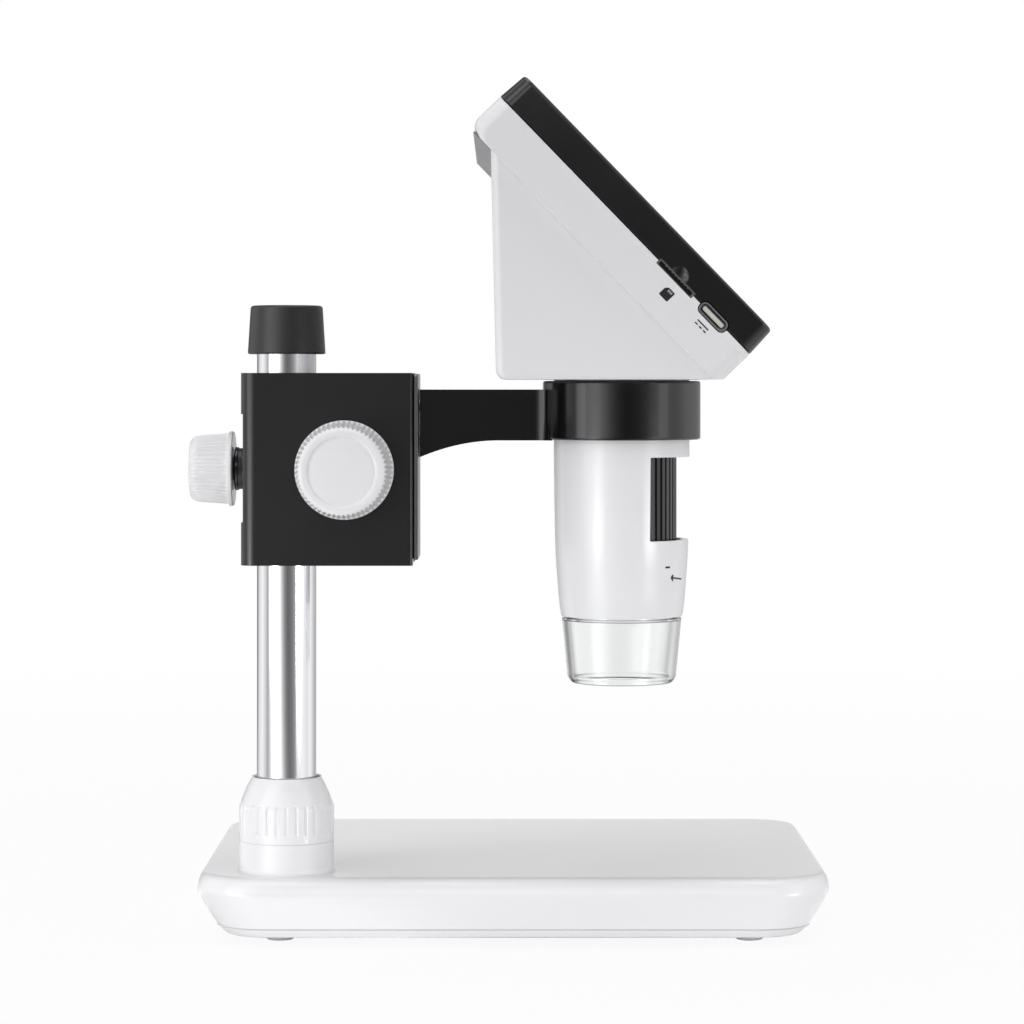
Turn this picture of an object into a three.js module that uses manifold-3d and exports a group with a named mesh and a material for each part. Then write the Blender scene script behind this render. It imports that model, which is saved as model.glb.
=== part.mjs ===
// LCD digital microscope on a stand, in millimetres, +Z up.
//
// A tilted screen head turns in the collar of an arm. The arm hangs on a dovetail slide that a knob drives
// through a rack and pinion, and the slide's housing is clamped on a steel pole over a flat stage.
// The sizes below are measured from the pole's axis and from the floor, and the finished group is centred
// on its footprint.

import * as THREE from 'three';
import { mergeVertices } from 'three/addons/utils/BufferGeometryUtils.js';
import Module from 'manifold-3d';

const wasm = await Module();
wasm.setup();

// Fits
const seatGap = 0.3; // between pieces that touch or seat
const overrun = 1; // how far a cutter runs past the face that it opens

// Facets
const wideFacets = 28;
const roundFacets = 20;
const plainFacets = 14; // round pieces that hardly show
const smallFacets = 8;
const cornerFacets = 3; // steps in a quarter turn of a moulded corner

// Shares
const edgeShare = 0.3; // of a rounded edge, how far along it the point between its ends lies
const screwEdgeShare = 0.33; // of a screw head's height, its chamfer
const crownHeightShare = 0.25; // of the lens's thickness, its crown

// Stage base: a shell closed by a tray, on four feet
const baseLength = 170.2;
const baseDepth = 126.6;
const baseLeft = 23.7; // from the pole's axis to the left end
const baseFront = 19.2; // from the pole's axis to the front edge
const stageHeight = 18.2; // floor to the flat top
const rimHeight = 13.3; // floor to the widest line
const seamHeight = 5.1; // floor to the shell's lower edge
const trayTop = 4.8;
const trayBottom = 2.65;
const baseNearCorner = 15; // plan radius, front
const baseFarCorner = 9; // plan radius, back
const stageEdgeEnd = 2.8; // inset of the flat top from the ends
const stageEdgeSide = 4.6; // inset of the flat top from the front and back
const seamInsetEnd = 3.3;
const seamInsetSide = 0.8;
const trayInsetEnd = 5;
const trayInsetSide = 1.1;
const baseWall = 2.2;
const baseEdgeSteps = 4;
const baseInnerSteps = 2;
const trayLipHeight = 1.6; // locating lip that stands up inside the shell
const trayLipWall = 1.5;

const footRadius = 4;
const footEdge = 0.5;
const footInsetLeft = 22.2; // foot's centre from the base's left end
const footInsetRight = 22.4;
const footInsetNear = 16.2;
const footInsetFar = 16.4;
const footX = baseLeft - footInsetLeft; // front left foot, left of the pole
const footSpacingX = baseLength - footInsetLeft - footInsetRight;
const footY = baseFront - footInsetNear; // front feet, in front of the pole
const footSpacingY = baseDepth - footInsetNear - footInsetFar;

const baseScrewInsetX = 14; // screw, right of the left feet and left of the right ones
const baseScrewInsetY = 4;
const baseScrewShank = 1.4;
const baseScrewLength = 9;
const baseScrewHead = 2.7;
const baseScrewHeadHeight = 1.6;
const basePostRadius = 3.6;
const baseBossHeight = 2.6; // screw boss above the tray

const ballastClearance = 1; // to the screw posts
const ballastInsetSide = 21.3; // from the base's front and back
const ballastThickness = 3;
const ballastCorner = 6;

// Pole and what grips it
const poleRadius = 8;
const poleWall = 1;
const poleTop = 167.6;
const bossRadius = 12.75;
const bossTop = 26.2;
const spigotRadius = 10.4; // threaded neck above the boss
const spigotTop = 33.5;
const poleSocketWall = 2.6;
const poleSocketDrop = 8.4; // socket below the shell's ceiling

const nutBottom = 26.5;
const nutTop = 43.3;
const nutRadius = 12.75;
const nutTopRadius = 9.6;
const nutMouth = 8.8; // dark ring round the pole
const nutShoulder = 35.7; // where the dome begins
const nutGrooveBottom = 26.9;
const nutGrooveTop = 34.9;
const nutGrooveDepth = 0.45;
const nutGrooves = 30;
const nutConeTop = 40.9;
const nutDomeShares = [[0, 0], [0.3, 0.11], [0.58, 0.32], [0.82, 0.62], [1, 1]]; // height, inward

const colletTop = 40.5;
const colletTopRadius = 9.15;
const colletSlit = 0.9;
const colletSlits = 4;
const colletRoot = 1.8; // unslit ring at the foot

const capHeight = 13;
const capCrown = 2; // cap above the pole's end
const capTop = poleTop + capCrown;
const capBottom = capTop - capHeight;
const capBottomRadius = 10.45;
const capTopRadius = 9.65;
const capEdge = 0.8;

// Rack housing
const housingLeft = 11.4; // from the pole's axis
const housingRight = 34.2;
const housingDepth = 30;
const housingBottom = 100.5;
const housingTop = 151.5;
const housingCornerLeft = 3.7;
const housingCornerRight = 0.8;
const housingChamfer = 0.5;
const backRecessDepth = 0.6;
const backRecessBottom = 111.8;
const backRecessTop = 140.6;
const backRecessInset = 3.2; // from the front and back faces
const bushWall = 0.9;
const bushSlit = 3;
const bushInset = 0.8; // bush ends inside the housing

const dovetailMouth = 6.3; // half width at the housing's face
const dovetailRoot = 9; // half width inside
const dovetailDepth = 7.9;
const rackWidth = 7;
const rackInset = 0.8; // rack ends inside the carriage's ends

const gearModule = 0.8;
const pinionTeeth = 12;
const pinionWidth = 6.6;
const pinionX = 16.2; // from the pole's axis
const pinionZ = 125.85;
const toothAddendumShare = 0.9; // of the module
const toothDedendumShare = 1.15;
const toothTipShare = 0.2; // of the pitch, across the tip
const toothRootShare = 0.66; // of the pitch, across the gap's mouth side
const gearRunning = 0.1;
const shaftRadius = 2.5;
const coverFlange = 7.4; // bearing cover's rim
const coverFlangeHeight = 1.2;
const coverBearing = 4.5; // length of shaft in the cover

const knobRearRadius = 13.1;
const knobFrontRadius = 11.6;
const knobHeight = 17.5;
const knobEdge = 1.3;
const knobDiscRadius = 9;
const knobDiscDepth = 0.5;
const knobRibs = 58;
const knobRibDepth = 0.5;
const knobSkirt = 1.6; // plain ring at the rear
const knobShaftReach = 11.5; // shaft inside the knob
const knobBossRadius = 6;
const knobHollow = 12.6; // depth of the rear hollow
const knobWall = 1.9;

const carriageBottom = 101.9;
const carriageTop = 151.3;
const carriagePlate = 1.1;
const carriageHalfWidth = 13;
const carriageCorner = 1;
const armScrewLow = 133.2;
const armScrewHigh = 142.8;
const armScrewShank = 1.5;
const armScrewReach = 5.5; // into the arm
const armScrewHead = 2.6;
const armScrewHeadHeight = 1.6;

// Clamp knob at the back of the housing
const clampKnobInner = 14.1; // from the pole's axis to the flange
const clampKnobOuter = 25.8;
const clampKnobFlange = 10.05;
const clampKnobRoot = 9.45;
const clampKnobEnd = 8.65;
const clampKnobEdge = 1.6;
const clampKnobFlangeHeight = 1.3;
const clampKnobRibs = 50;
const clampKnobRibDepth = 0.35;
const clampNeckRadius = 5.8;
const clampNeckGroove = 0.5;
const clampNeckBand = 1.1;
const clampSocketRadius = 8.85;
const clampSocketDepth = 0.4;
const clampScrewRadius = 3;
const clampScrewGrip = 7; // stub inside the knob

// Arm and collar
const armThickness = 12;
const armTop = 147.1;
const armRootBottom = 129;
const armBottom = 133.5;
const armCurveEnd = 57; // where the under side turns level
const armCurveSteps = 6;
const tubeAxisX = 90; // from the pole's axis
const collarBottom = 133.7;
const collarTop = 149.4;
const collarEdge = 0.8;
const collarWall = 1.4;
const linerWall = 0.95;
const linerInset = 1; // liner ends inside the collar
const armFillet = 4; // where the arm meets the collar

// Tube, window and hood
const tubeBottom = 86.4;
const tubeWall = 1.6;
// floor height and radius of the tube's outline
const tubeOutline = [[86.4, 16.3], [90.5, 16.9], [101.3, 17.7], [106.6, 17.9], [130.8, 18.25]];
const tubeTopRadius = 18.25;
const collarInner = tubeTopRadius + linerWall + seatGap * 2;
const collarRadius = collarInner + collarWall;
const tubeFlangeRadius = 20.8;
const tubeFlangeHeight = 2;
const windowBottom = 107;
const windowTop = 129.1;
const windowHalfAngle = 67; // degrees, either side of +X
const wheelRadius = 14.8;
const wheelInner = 12.7;
const wheelRibs = 40;
const wheelRibDepth = 0.5;
const wheelInset = 0.6; // wheel ends outside the window's edges
const guideRadius = 12.4;
const guideInner = 10.4;
const guideTop = 139;
const guideShelf = 2.2; // flange under the wheel
const retainerHeight = 1.8;
const barrelRadius = 10.1;
const barrelWall = 1.6;
const barrelBottom = 99;
const barrelLength = 20;
const objectiveRadius = 6.2;
const objectiveThickness = 4;
const objectiveSet = 1.2; // lens face above the barrel's lower rim
const objectiveLip = 1; // lip that the lens sits on
const crownShare = 0.6; // of the lens's radius, where its rim begins
const sensorBoardRadius = 14;
const boardThickness = 1.2;
const sensorSize = 7;
const sensorHeight = 1.4;
const lampBoardZ = 92;
const lampHole = 7.6;
const lampCount = 8;
const lampSize = 2.8;
const lampHeight = 1.5;
const lampCircle = 10.4;

const hoodBottom = 68.5;
const hoodTop = 86;
const hoodTopRadius = 16.1;
const hoodLowRadius = 14.6;
const hoodMouthRadius = 13.2;
const hoodMouthInner = 12.4;
const hoodRound = 1.7; // height of the rounded lower edge
const hoodWall = 1.7;
const hoodNeckRadius = 14.3;

// Head: heights and places from the tube's axis and the wedge's under side
const headSlope = 45.9; // degrees, screen below the horizontal
const headFloor = 149.7; // under side of the wedge, from the floor
const headLength = 90.3; // along the slope
const headWidth = 120;
const headCorner = 4;
const bezelDepth = 8.4;
const bezelDraft = 0.45;
const bezelEdge = 0.9;
const bezelWall = 2;
const bezelFace = 2;
const seamLowX = 30.1; // lower end of the seam, from the tube's axis
const seamLowZ = 6.2; // above the wedge's under side
const shellDepth = 10.85; // slab behind the seam
const shellBackRound = 2.4;
const shellLowRound = 1.6;
const shellWall = 2;
const wedgeHalfWidth = 57;
const wedgeBackLow = 33.6; // back face from the tube's axis, at the bottom
const wedgeBackHigh = 34.95;
const wedgeCornerRound = 2.5;
const wedgeEdgeRound = 2;

const glassLength = 60; // along the slope
const glassWidth = 100;
const glassThickness = 1.1;
const glassCorner = 2;
const glassShift = 9; // glass centre, up the slope from the middle
const viewLength = 54.4;
const viewWidth = 95.6;
const panelLength = 67.2;
const panelWidth = 105.5;
const panelThickness = 2.9;
const mainBoardInsetHigh = 8.25; // from the head's upper end
const mainBoardInsetLow = 6.05;
const mainBoardInsetSide = 4;
const batteryThickness = 6.5;
const batteryWidth = 50;
const batteryHeight = 34;
const keyCount = 6;
const keyPitch = 15;
const keyShift = 34.5; // key row, down the slope from the middle
const keyLength = 5;
const keyWidth = 9.5;
const keyCorner = 1.6;
const keyProud = 0.9;
const keyFlange = 1;
const keyFlangeHeight = 1;
const keyTravel = 0.5;
const switchSize = 4;

const cardSlotStart = 57.3; // along the seam from its upper end
const cardSlotEnd = 69.9;
const cardSlotHeight = 1.8;
const cardSocketDepth = 14;
const nailNotchRadius = 3;
const nailNotchDepth = 0.9;
const powerSlotCentre = 77.1;
const powerSlotWidth = 9.5;
const powerSlotHeight = 3.7;
const powerSocketDepth = 7.3;
const powerSocketSet = 0.4; // socket mouth behind the side face
const powerSocketWall = 0.35;
const powerTongue = 0.7;
const powerTongueWidth = 6;
const powerTongueLength = 4.6;
const cardMouthWidth = 11.4;
const cardMouthHeight = 1.1;
const cardMouthDepth = 11;

const caseScrewInsetEnd = 5.6; // from the head's upper end
const caseScrewInsetLow = 7.4; // from the head's lower end
const caseScrewHighSpan = 55.2; // from the middle, upper pair
const caseScrewLowSpan = 47;
const caseScrewShank = 1;
const caseScrewHead = 2.3;
const caseScrewHeadHeight = 1.5;
const caseScrewSeat = 3.6; // head seat behind the seam
const caseScrewBite = 5; // into the bezel
const caseBossRadius = 3.8;
const bezelPostRadius = 2.1;

// Shapes

// A closed body of one geometry, ready for cutting.
function solid(geometry) {
  const bare = geometry.index ? geometry.clone() : geometry;
  bare.deleteAttribute('normal');
  bare.deleteAttribute('uv');
  const merged = mergeVertices(bare, 1e-4);
  const vertProperties = new Float32Array(merged.attributes.position.array);
  let triVerts = [];
  const index = merged.index.array;
  for (let i = 0; i < index.length; i += 3) {
    const [a, b, c] = [index[i], index[i + 1], index[i + 2]];
    if (a !== b && b !== c && c !== a) triVerts.push(a, b, c);
  }
  if (volumeOf(vertProperties, triVerts) < 0) triVerts = triVerts.reverse();
  const whole = new wasm.Mesh({ numProp: 3, vertProperties, triVerts: new Uint32Array(triVerts) });
  return new wasm.Manifold(whole);
}

function volumeOf(points, triangles) {
  const corner = (i) => new THREE.Vector3().fromArray(points, triangles[i] * 3);
  let total = 0;
  for (let i = 0; i < triangles.length; i += 3) {
    total += corner(i).dot(corner(i + 1).cross(corner(i + 2)));
  }
  return total;
}

function cut(body, ...tools) {
  return tools.reduce((rest, tool) => rest.subtract(tool), body);
}

function join(body, ...others) {
  return others.reduce((sum, other) => sum.add(other), body);
}

function geometryOf(body) {
  const { vertProperties, triVerts } = body.getMesh();
  const geometry = new THREE.BufferGeometry();
  geometry.setAttribute('position', new THREE.BufferAttribute(new Float32Array(vertProperties), 3));
  geometry.setIndex(new THREE.BufferAttribute(new Uint32Array(triVerts), 1));
  return geometry;
}

// The body after a turn about one axis, in degrees, and then a shift.
function placed(body, { x = 0, y = 0, z = 0, about = 'Z', degrees = 0 }) {
  const geometry = geometryOf(body);
  geometry[`rotate${about}`](THREE.MathUtils.degToRad(degrees));
  return solid(geometry.translate(x, y, z));
}

// A named mesh of a finished body.
function mesh(name, body, material) {
  const geometry = geometryOf(body);
  geometry.computeVertexNormals();
  const made = new THREE.Mesh(geometry, material);
  made.name = name;
  return made;
}

function box(sizeX, sizeY, sizeZ, x = 0, y = 0, z = 0) {
  return solid(new THREE.BoxGeometry(sizeX, sizeY, sizeZ).translate(x, y, z));
}

// A box given by its lower and upper corners.
function block(x0, x1, y0, y1, z0, z1) {
  return box(x1 - x0, y1 - y0, z1 - z0, (x0 + x1) / 2, (y0 + y1) / 2, (z0 + z1) / 2);
}

// An upright cylinder from z0 to z1.
function rod(radius, z0, z1, facets = roundFacets, x = 0, y = 0) {
  const shape = new THREE.CylinderGeometry(radius, radius, z1 - z0, facets).rotateX(Math.PI / 2);
  return solid(shape.translate(x, y, (z0 + z1) / 2));
}

// A body turned about Z from [radius, height] pairs that start and end on the axis or close on themselves.
function turned(outline, facets = roundFacets) {
  const points = outline.map(([r, z]) => new THREE.Vector2(r, z));
  return solid(new THREE.LatheGeometry(points, facets).rotateX(Math.PI / 2));
}

function ring(inner, outer, z0, z1, facets = roundFacets) {
  return turned([[inner, z0], [outer, z0], [outer, z1], [inner, z1], [inner, z0]], facets);
}

// An upright prism from z0 to z1 over a plan outline of [x, y] pairs.
function prism(outline, z0, z1) {
  const shape = new THREE.Shape(outline.map(([x, y]) => new THREE.Vector2(x, y)));
  return solid(new THREE.ExtrudeGeometry(shape, { depth: z1 - z0, bevelEnabled: false }).translate(0, 0, z0));
}

// A bar along Y between y0 and y1 over a side outline of [x, z] pairs.
function sideBar(outline, y0, y1) {
  const shape = new THREE.Shape(outline.map(([x, z]) => new THREE.Vector2(x, z)));
  const bar = new THREE.ExtrudeGeometry(shape, { depth: y1 - y0, bevelEnabled: false });
  return solid(bar.rotateX(Math.PI / 2).translate(0, y1, 0));
}

// Plan outline of a rectangle whose four corner radii run: right back, left back, left front, right front.
function roundedPlan(x0, x1, y0, y1, radii, steps = cornerFacets) {
  const centres = [[x1, y1, -1, -1], [x0, y1, 1, -1], [x0, y0, 1, 1], [x1, y0, -1, 1]];
  const outline = [];
  centres.forEach(([x, y, sx, sy], corner) => {
    const radius = Array.isArray(radii) ? radii[corner] : radii;
    for (let i = 0; i <= steps; i += 1) {
      const angle = ((corner + i / steps) * Math.PI) / 2;
      outline.push([x + sx * radius + radius * Math.cos(angle), y + sy * radius + radius * Math.sin(angle)]);
    }
  });
  return outline;
}

// A closed body through level outlines of equally many points: [height, outline] pairs from the bottom up.
function loft(levels) {
  const positions = [];
  const index = [];
  const count = levels[0][1].length;
  levels.forEach(([z, outline]) => outline.forEach(([x, y]) => positions.push(x, y, z)));
  for (let level = 0; level < levels.length - 1; level += 1) {
    for (let i = 0; i < count; i += 1) {
      const a = level * count + i;
      const b = level * count + ((i + 1) % count);
      index.push(a, b, b + count, a, b + count, a + count);
    }
  }
  [levels[0], levels[levels.length - 1]].forEach(([z, outline], end) => {
    const middle = positions.length / 3;
    const mean = (k) => outline.reduce((sum, point) => sum + point[k], 0) / count;
    positions.push(mean(0), mean(1), z);
    const start = end * (levels.length - 1) * count;
    for (let i = 0; i < count; i += 1) {
      const pair = [start + i, start + ((i + 1) % count)];
      if (end === 0) pair.reverse();
      index.push(middle, ...pair);
    }
  });
  const geometry = new THREE.BufferGeometry();
  geometry.setAttribute('position', new THREE.Float32BufferAttribute(positions, 3));
  geometry.setIndex(index);
  return solid(geometry);
}

// A circle whose radius dips by `dip` between each two ribs.
function ribbedCircle(radius, dip, ribs) {
  return Array.from({ length: ribs * 2 }, (_, i) => {
    const angle = (i / ribs) * Math.PI;
    const r = i % 2 === 0 ? radius - dip : radius;
    return [r * Math.cos(angle), r * Math.sin(angle)];
  });
}

// Copies of a body set round the Z axis.
function around(body, count, start = 0) {
  return Array.from({ length: count }, (_, i) => placed(body, { degrees: start + (i * 360) / count }));
}

function group(...children) {
  const made = new THREE.Group();
  children.forEach((child) => made.add(child));
  return made;
}

// Materials

function finish(color, roughness, metalness) {
  return new THREE.MeshStandardMaterial({ color, roughness, metalness });
}
const whitePlastic = finish('#ecebed', 0.35, 0);
const trayPlastic = finish('#e2e1e4', 0.45, 0);
const blackPaint = finish('#2b2a2d', 0.5, 0.1);
const blackPlastic = finish('#222124', 0.4, 0);
const blackRubber = finish('#2e2d2f', 0.85, 0);
const greyRubber = finish('#c9c9cb', 0.8, 0);
const steel = finish('#b9babc', 0.25, 1);
const darkSteel = finish('#58585c', 0.4, 1);
const brass = finish('#c2a35a', 0.35, 1);
const nylon = finish('#dcdad2', 0.6, 0);
const clearPlastic = new THREE.MeshStandardMaterial({
  color: '#f2f5f6', roughness: 0.08, metalness: 0, transparent: true, opacity: 0.35,
});
const blackGlass = finish('#0c0d10', 0.05, 0);
const boardGreen = finish('#1f5a3c', 0.6, 0);
const boardWhite = finish('#e9eae6', 0.6, 0);
const foil = finish('#8f9398', 0.4, 0.7);

// Stand

// Level outline of the base, drawn in from the ends and from the front and back.
function basePlan(insetEnd, insetSide) {
  const shrink = (insetEnd + insetSide) / 2;
  const near = Math.max(baseNearCorner - shrink, seatGap);
  const far = Math.max(baseFarCorner - shrink, seatGap);
  return roundedPlan(
    insetEnd - baseLeft,
    baseLength - baseLeft - insetEnd,
    insetSide - baseFront,
    baseDepth - baseFront - insetSide,
    [far, far, near, near],
  );
}

// The moulded edge as [height, inset at the ends, inset at the sides], from the seam to the flat top.
function baseEdge(steps) {
  const lowRise = rimHeight - seamHeight;
  const lowShares = [[0, 1], [0.32, 0.66], [0.63, 0.33]]; // height, inset
  const low = lowShares.map(([rise, inset]) => [
    seamHeight + lowRise * rise, seamInsetEnd * inset, seamInsetSide * inset,
  ]);
  const round = Array.from({ length: steps + 1 }, (_, i) => {
    const angle = ((i / steps) * Math.PI) / 2;
    const inward = 1 - Math.cos(angle);
    return [
      rimHeight + (stageHeight - rimHeight) * Math.sin(angle), stageEdgeEnd * inward, stageEdgeSide * inward,
    ];
  });
  return [...low, ...round];
}

const screwPlaces = [0, 1].flatMap((right) => [0, 1].map((back) => [
  right ? footSpacingX - footX - baseScrewInsetX : baseScrewInsetX - footX,
  back ? footSpacingY - footY - baseScrewInsetY : baseScrewInsetY - footY,
]));
const footPlaces = [0, 1].flatMap((right) => [0, 1].map((back) => [
  right * footSpacingX - footX, back * footSpacingY - footY,
]));
const ceiling = stageHeight - baseWall;
const screwBossTop = trayTop + baseBossHeight;
const screwHeadSeat = trayTop;

// A rod at the place of each base screw.
function atScrews(radius, z0, z1) {
  return screwPlaces.map(([x, y]) => rod(radius, z0, z1, smallFacets, x, y));
}

function baseCover() {
  const outside = loft(baseEdge(baseEdgeSteps).map(([z, end, side]) => [z, basePlan(end, side)]));
  const inner = baseEdge(baseInnerSteps).map(([z, end, side]) => [
    z < rimHeight ? z : rimHeight + ((z - rimHeight) * (ceiling - rimHeight)) / (stageHeight - rimHeight),
    basePlan(end + baseWall, side + baseWall),
  ]);
  inner[0][0] -= overrun;
  const hollow = cut(
    loft(inner),
    rod(poleRadius + seatGap + poleSocketWall, ceiling - poleSocketDrop, stageHeight),
    ...atScrews(basePostRadius, screwBossTop + seatGap, stageHeight),
  );
  const boss = rod(bossRadius, rimHeight, bossTop, wideFacets);
  const spigot = rod(spigotRadius, rimHeight, spigotTop, wideFacets);
  const body = join(cut(outside, hollow), boss, spigot);
  return mesh('base_cover', cut(
    body,
    rod(poleRadius + seatGap, trayBottom, spigotTop + overrun),
    rod(poleRadius + seatGap + poleSocketWall, seamHeight - overrun, ceiling - poleSocketDrop),
    ...atScrews(baseScrewShank + seatGap, seamHeight, screwHeadSeat + baseScrewLength + seatGap),
  ), whitePlastic);
}

function baseTray() {
  const insetEnd = seamInsetEnd + baseWall + seatGap;
  const insetSide = seamInsetSide + baseWall + seatGap;
  const dish = loft([
    [trayBottom, basePlan(trayInsetEnd, trayInsetSide)],
    [trayTop, basePlan(seamInsetEnd, seamInsetSide)],
  ]);
  const lip = cut(
    prism(basePlan(insetEnd, insetSide), trayTop - seatGap, trayTop + trayLipHeight),
    prism(basePlan(insetEnd + trayLipWall, insetSide + trayLipWall), trayTop - overrun,
      trayTop + trayLipHeight + overrun),
  );
  return mesh('base_tray', cut(
    join(dish, lip, ...atScrews(basePostRadius, trayTop - seatGap, screwBossTop)),
    ...atScrews(baseScrewShank + seatGap, trayBottom, screwBossTop + overrun),
    ...atScrews(baseScrewHead + seatGap, trayBottom - overrun, screwHeadSeat),
  ), trayPlastic);
}

// A pan-head screw whose shank points up from the seat at height zero.
function panScrew(name, shank, length, head, headHeight) {
  const edge = headHeight * screwEdgeShare;
  return mesh(name, turned([
    [0, length - edge], [shank - edge, length - edge], [shank, length - edge * 2], [shank, -seatGap],
    [head, -seatGap], [head, -seatGap - headHeight + edge], [head - edge, -seatGap - headHeight],
    [0, -seatGap - headHeight],
  ], smallFacets), steel);
}

function baseScrews() {
  return screwPlaces.map(([x, y], i) => {
    const screw = panScrew(
      `base_screw_${i + 1}`, baseScrewShank, baseScrewLength, baseScrewHead, baseScrewHeadHeight,
    );
    screw.position.set(x, y, screwHeadSeat);
    return screw;
  });
}

function ballastPlate() {
  const ballastLength = footSpacingX - (baseScrewInsetX + basePostRadius + ballastClearance) * 2;
  const ballastDepth = baseDepth - ballastInsetSide * 2;
  const plan = roundedPlan(
    -ballastLength / 2, ballastLength / 2, -ballastDepth / 2, ballastDepth / 2, ballastCorner,
  );
  const plate = mesh('ballast_plate', prism(plan, 0, ballastThickness), darkSteel);
  plate.position.set(baseLength / 2 - baseLeft, baseDepth / 2 - baseFront, trayTop + seatGap);
  return plate;
}

function feet() {
  const names = ['foot_front_left', 'foot_rear_left', 'foot_front_right', 'foot_rear_right'];
  const height = trayBottom - seatGap;
  return footPlaces.map(([x, y], i) => {
    const foot = mesh(names[i], turned([
      [0, 0], [footRadius - footEdge, 0], [footRadius, footEdge], [footRadius, height], [0, height],
    ], plainFacets), greyRubber);
    foot.position.set(x, y, 0);
    return foot;
  });
}

function pole() {
  return mesh('pole', ring(poleRadius - poleWall, poleRadius, trayTop + seatGap, poleTop), steel);
}

function poleCap() {
  const inner = poleRadius + seatGap;
  return mesh('pole_cap', turned([
    [inner, capBottom], [capBottomRadius - capEdge / 2, capBottom],
    [capBottomRadius, capBottom + capEdge / 2],
    [capTopRadius, capTop - capEdge], [capTopRadius - capEdge * edgeShare, capTop - capEdge * edgeShare],
    [capTopRadius - capEdge, capTop], [0, capTop], [0, poleTop + seatGap], [inner, poleTop + seatGap],
    [inner, capBottom],
  ], wideFacets), blackRubber);
}

function gripCollet() {
  const bottom = spigotTop + seatGap;
  const inner = poleRadius + seatGap;
  const sleeve = turned([
    [inner, bottom], [spigotRadius, bottom], [spigotRadius, bottom + colletRoot],
    [colletTopRadius, colletTop], [inner, colletTop], [inner, bottom],
  ], plainFacets);
  const slit = block(0, spigotRadius + overrun, -colletSlit / 2, colletSlit / 2, bottom + colletRoot,
    colletTop + overrun);
  return mesh('grip_collet', cut(sleeve, ...around(slit, colletSlits)), nylon);
}

function lockNut() {
  const rise = nutTop - nutShoulder;
  const inward = nutRadius - nutTopRadius;
  const grooved = loft([
    [nutGrooveBottom, ribbedCircle(nutRadius, nutGrooveDepth, nutGrooves)],
    [nutGrooveTop, ribbedCircle(nutRadius, nutGrooveDepth, nutGrooves)],
  ]);
  const foot = rod(nutRadius, nutBottom, nutGrooveBottom, wideFacets);
  const dome = turned([
    [0, nutGrooveTop], [nutRadius, nutGrooveTop],
    ...nutDomeShares.map(([up, drawn]) => [nutRadius - inward * drawn, nutShoulder + rise * up]),
    [0, nutTop],
  ], wideFacets);
  const thread = spigotRadius + seatGap;
  const coneFoot = spigotTop + seatGap + colletRoot;
  const inside = turned([
    [0, nutBottom - overrun], [thread, nutBottom - overrun], [thread, coneFoot + seatGap],
    [colletTopRadius + seatGap, nutConeTop], [nutMouth, nutConeTop], [nutMouth, nutTop + overrun],
    [0, nutTop + overrun],
  ], roundFacets);
  return mesh('lock_nut', cut(join(grooved, foot, dome), inside), whitePlastic);
}

const stand = group(
  baseCover(), baseTray(), ballastPlate(), ...feet(), ...baseScrews(), pole(), poleCap(), gripCollet(),
  lockNut(),
);

// Rack housing

const bushOuter = poleRadius + seatGap + bushWall;
const housingBore = bushOuter + seatGap;
const pitchRadius = (gearModule * pinionTeeth) / 2;
const toothPitch = gearModule * Math.PI;
const addendum = gearModule * toothAddendumShare;
const dedendum = gearModule * toothDedendumShare;
const rackPitchX = pinionX + pitchRadius;
const cavityRadius = pitchRadius + addendum + seatGap + gearRunning;
const cavityHalf = pinionWidth / 2 + seatGap;
const slotRootX = housingRight - dovetailDepth;
const stemInnerX = slotRootX + seatGap;
const carriageInnerX = housingRight + seatGap;
const carriageOuterX = carriageInnerX + carriagePlate;
const clampSeatX = housingLeft - backRecessDepth - clampSocketDepth;
const armScrewHeights = [armScrewLow, armScrewHigh];

// Stands a body made along Z so that its +Z points to -Y.
const towardFront = (body, x, y, z) => placed(body, { x, y, z, about: 'X', degrees: 90 });
// Stands a body made along Z so that its +Z points to +X.
const towardRight = (body, x, y, z) => placed(body, { x, y, z, about: 'Y', degrees: 90 });
// Stands a body made along Z so that its +Z points to -X.
const towardLeft = (body, x, y, z) => placed(body, { x, y, z, about: 'Y', degrees: -90 });

function rackHousing() {
  const half = housingDepth / 2;
  const plan = (inset) => roundedPlan(
    inset - housingLeft, housingRight - inset, inset - half, half - inset,
    [housingCornerRight, housingCornerLeft, housingCornerLeft, housingCornerRight],
  );
  const body = loft([
    [housingBottom, plan(housingChamfer)], [housingBottom + housingChamfer, plan(0)],
    [housingTop - housingChamfer, plan(0)], [housingTop, plan(housingChamfer)],
  ]);
  const low = housingBottom - overrun;
  const high = housingTop + overrun;
  const slot = prism([
    [slotRootX, -dovetailRoot], [housingRight, -dovetailMouth], [housingRight + overrun, -dovetailMouth],
    [housingRight + overrun, dovetailMouth], [housingRight, dovetailMouth], [slotRootX, dovetailRoot],
  ], low, high);
  const channelHalf = rackWidth / 2 + seatGap;
  const channel = block(
    rackPitchX - addendum - seatGap, slotRootX + overrun, -channelHalf, channelHalf, low, high,
  );
  const cavity = towardFront(rod(cavityRadius, -half - overrun, cavityHalf), pinionX, 0, pinionZ);
  const shaftHole = rod(shaftRadius + seatGap, 0, half + overrun, smallFacets);
  const shaftBore = towardFront(shaftHole, pinionX, 0, pinionZ);
  const recess = block(
    -housingLeft - overrun, backRecessDepth - housingLeft, backRecessInset - half, half - backRecessInset,
    backRecessBottom, backRecessTop,
  );
  const socket = towardLeft(rod(clampSocketRadius, clampSeatX, housingLeft + overrun), 0, 0, pinionZ);
  const screwHole = towardLeft(rod(clampScrewRadius + seatGap, 0, housingLeft, smallFacets), 0, 0, pinionZ);
  return mesh('rack_housing', cut(
    body, rod(housingBore, low, high), slot, channel, cavity, shaftBore, recess, socket, screwHole,
  ), blackPaint);
}

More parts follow.
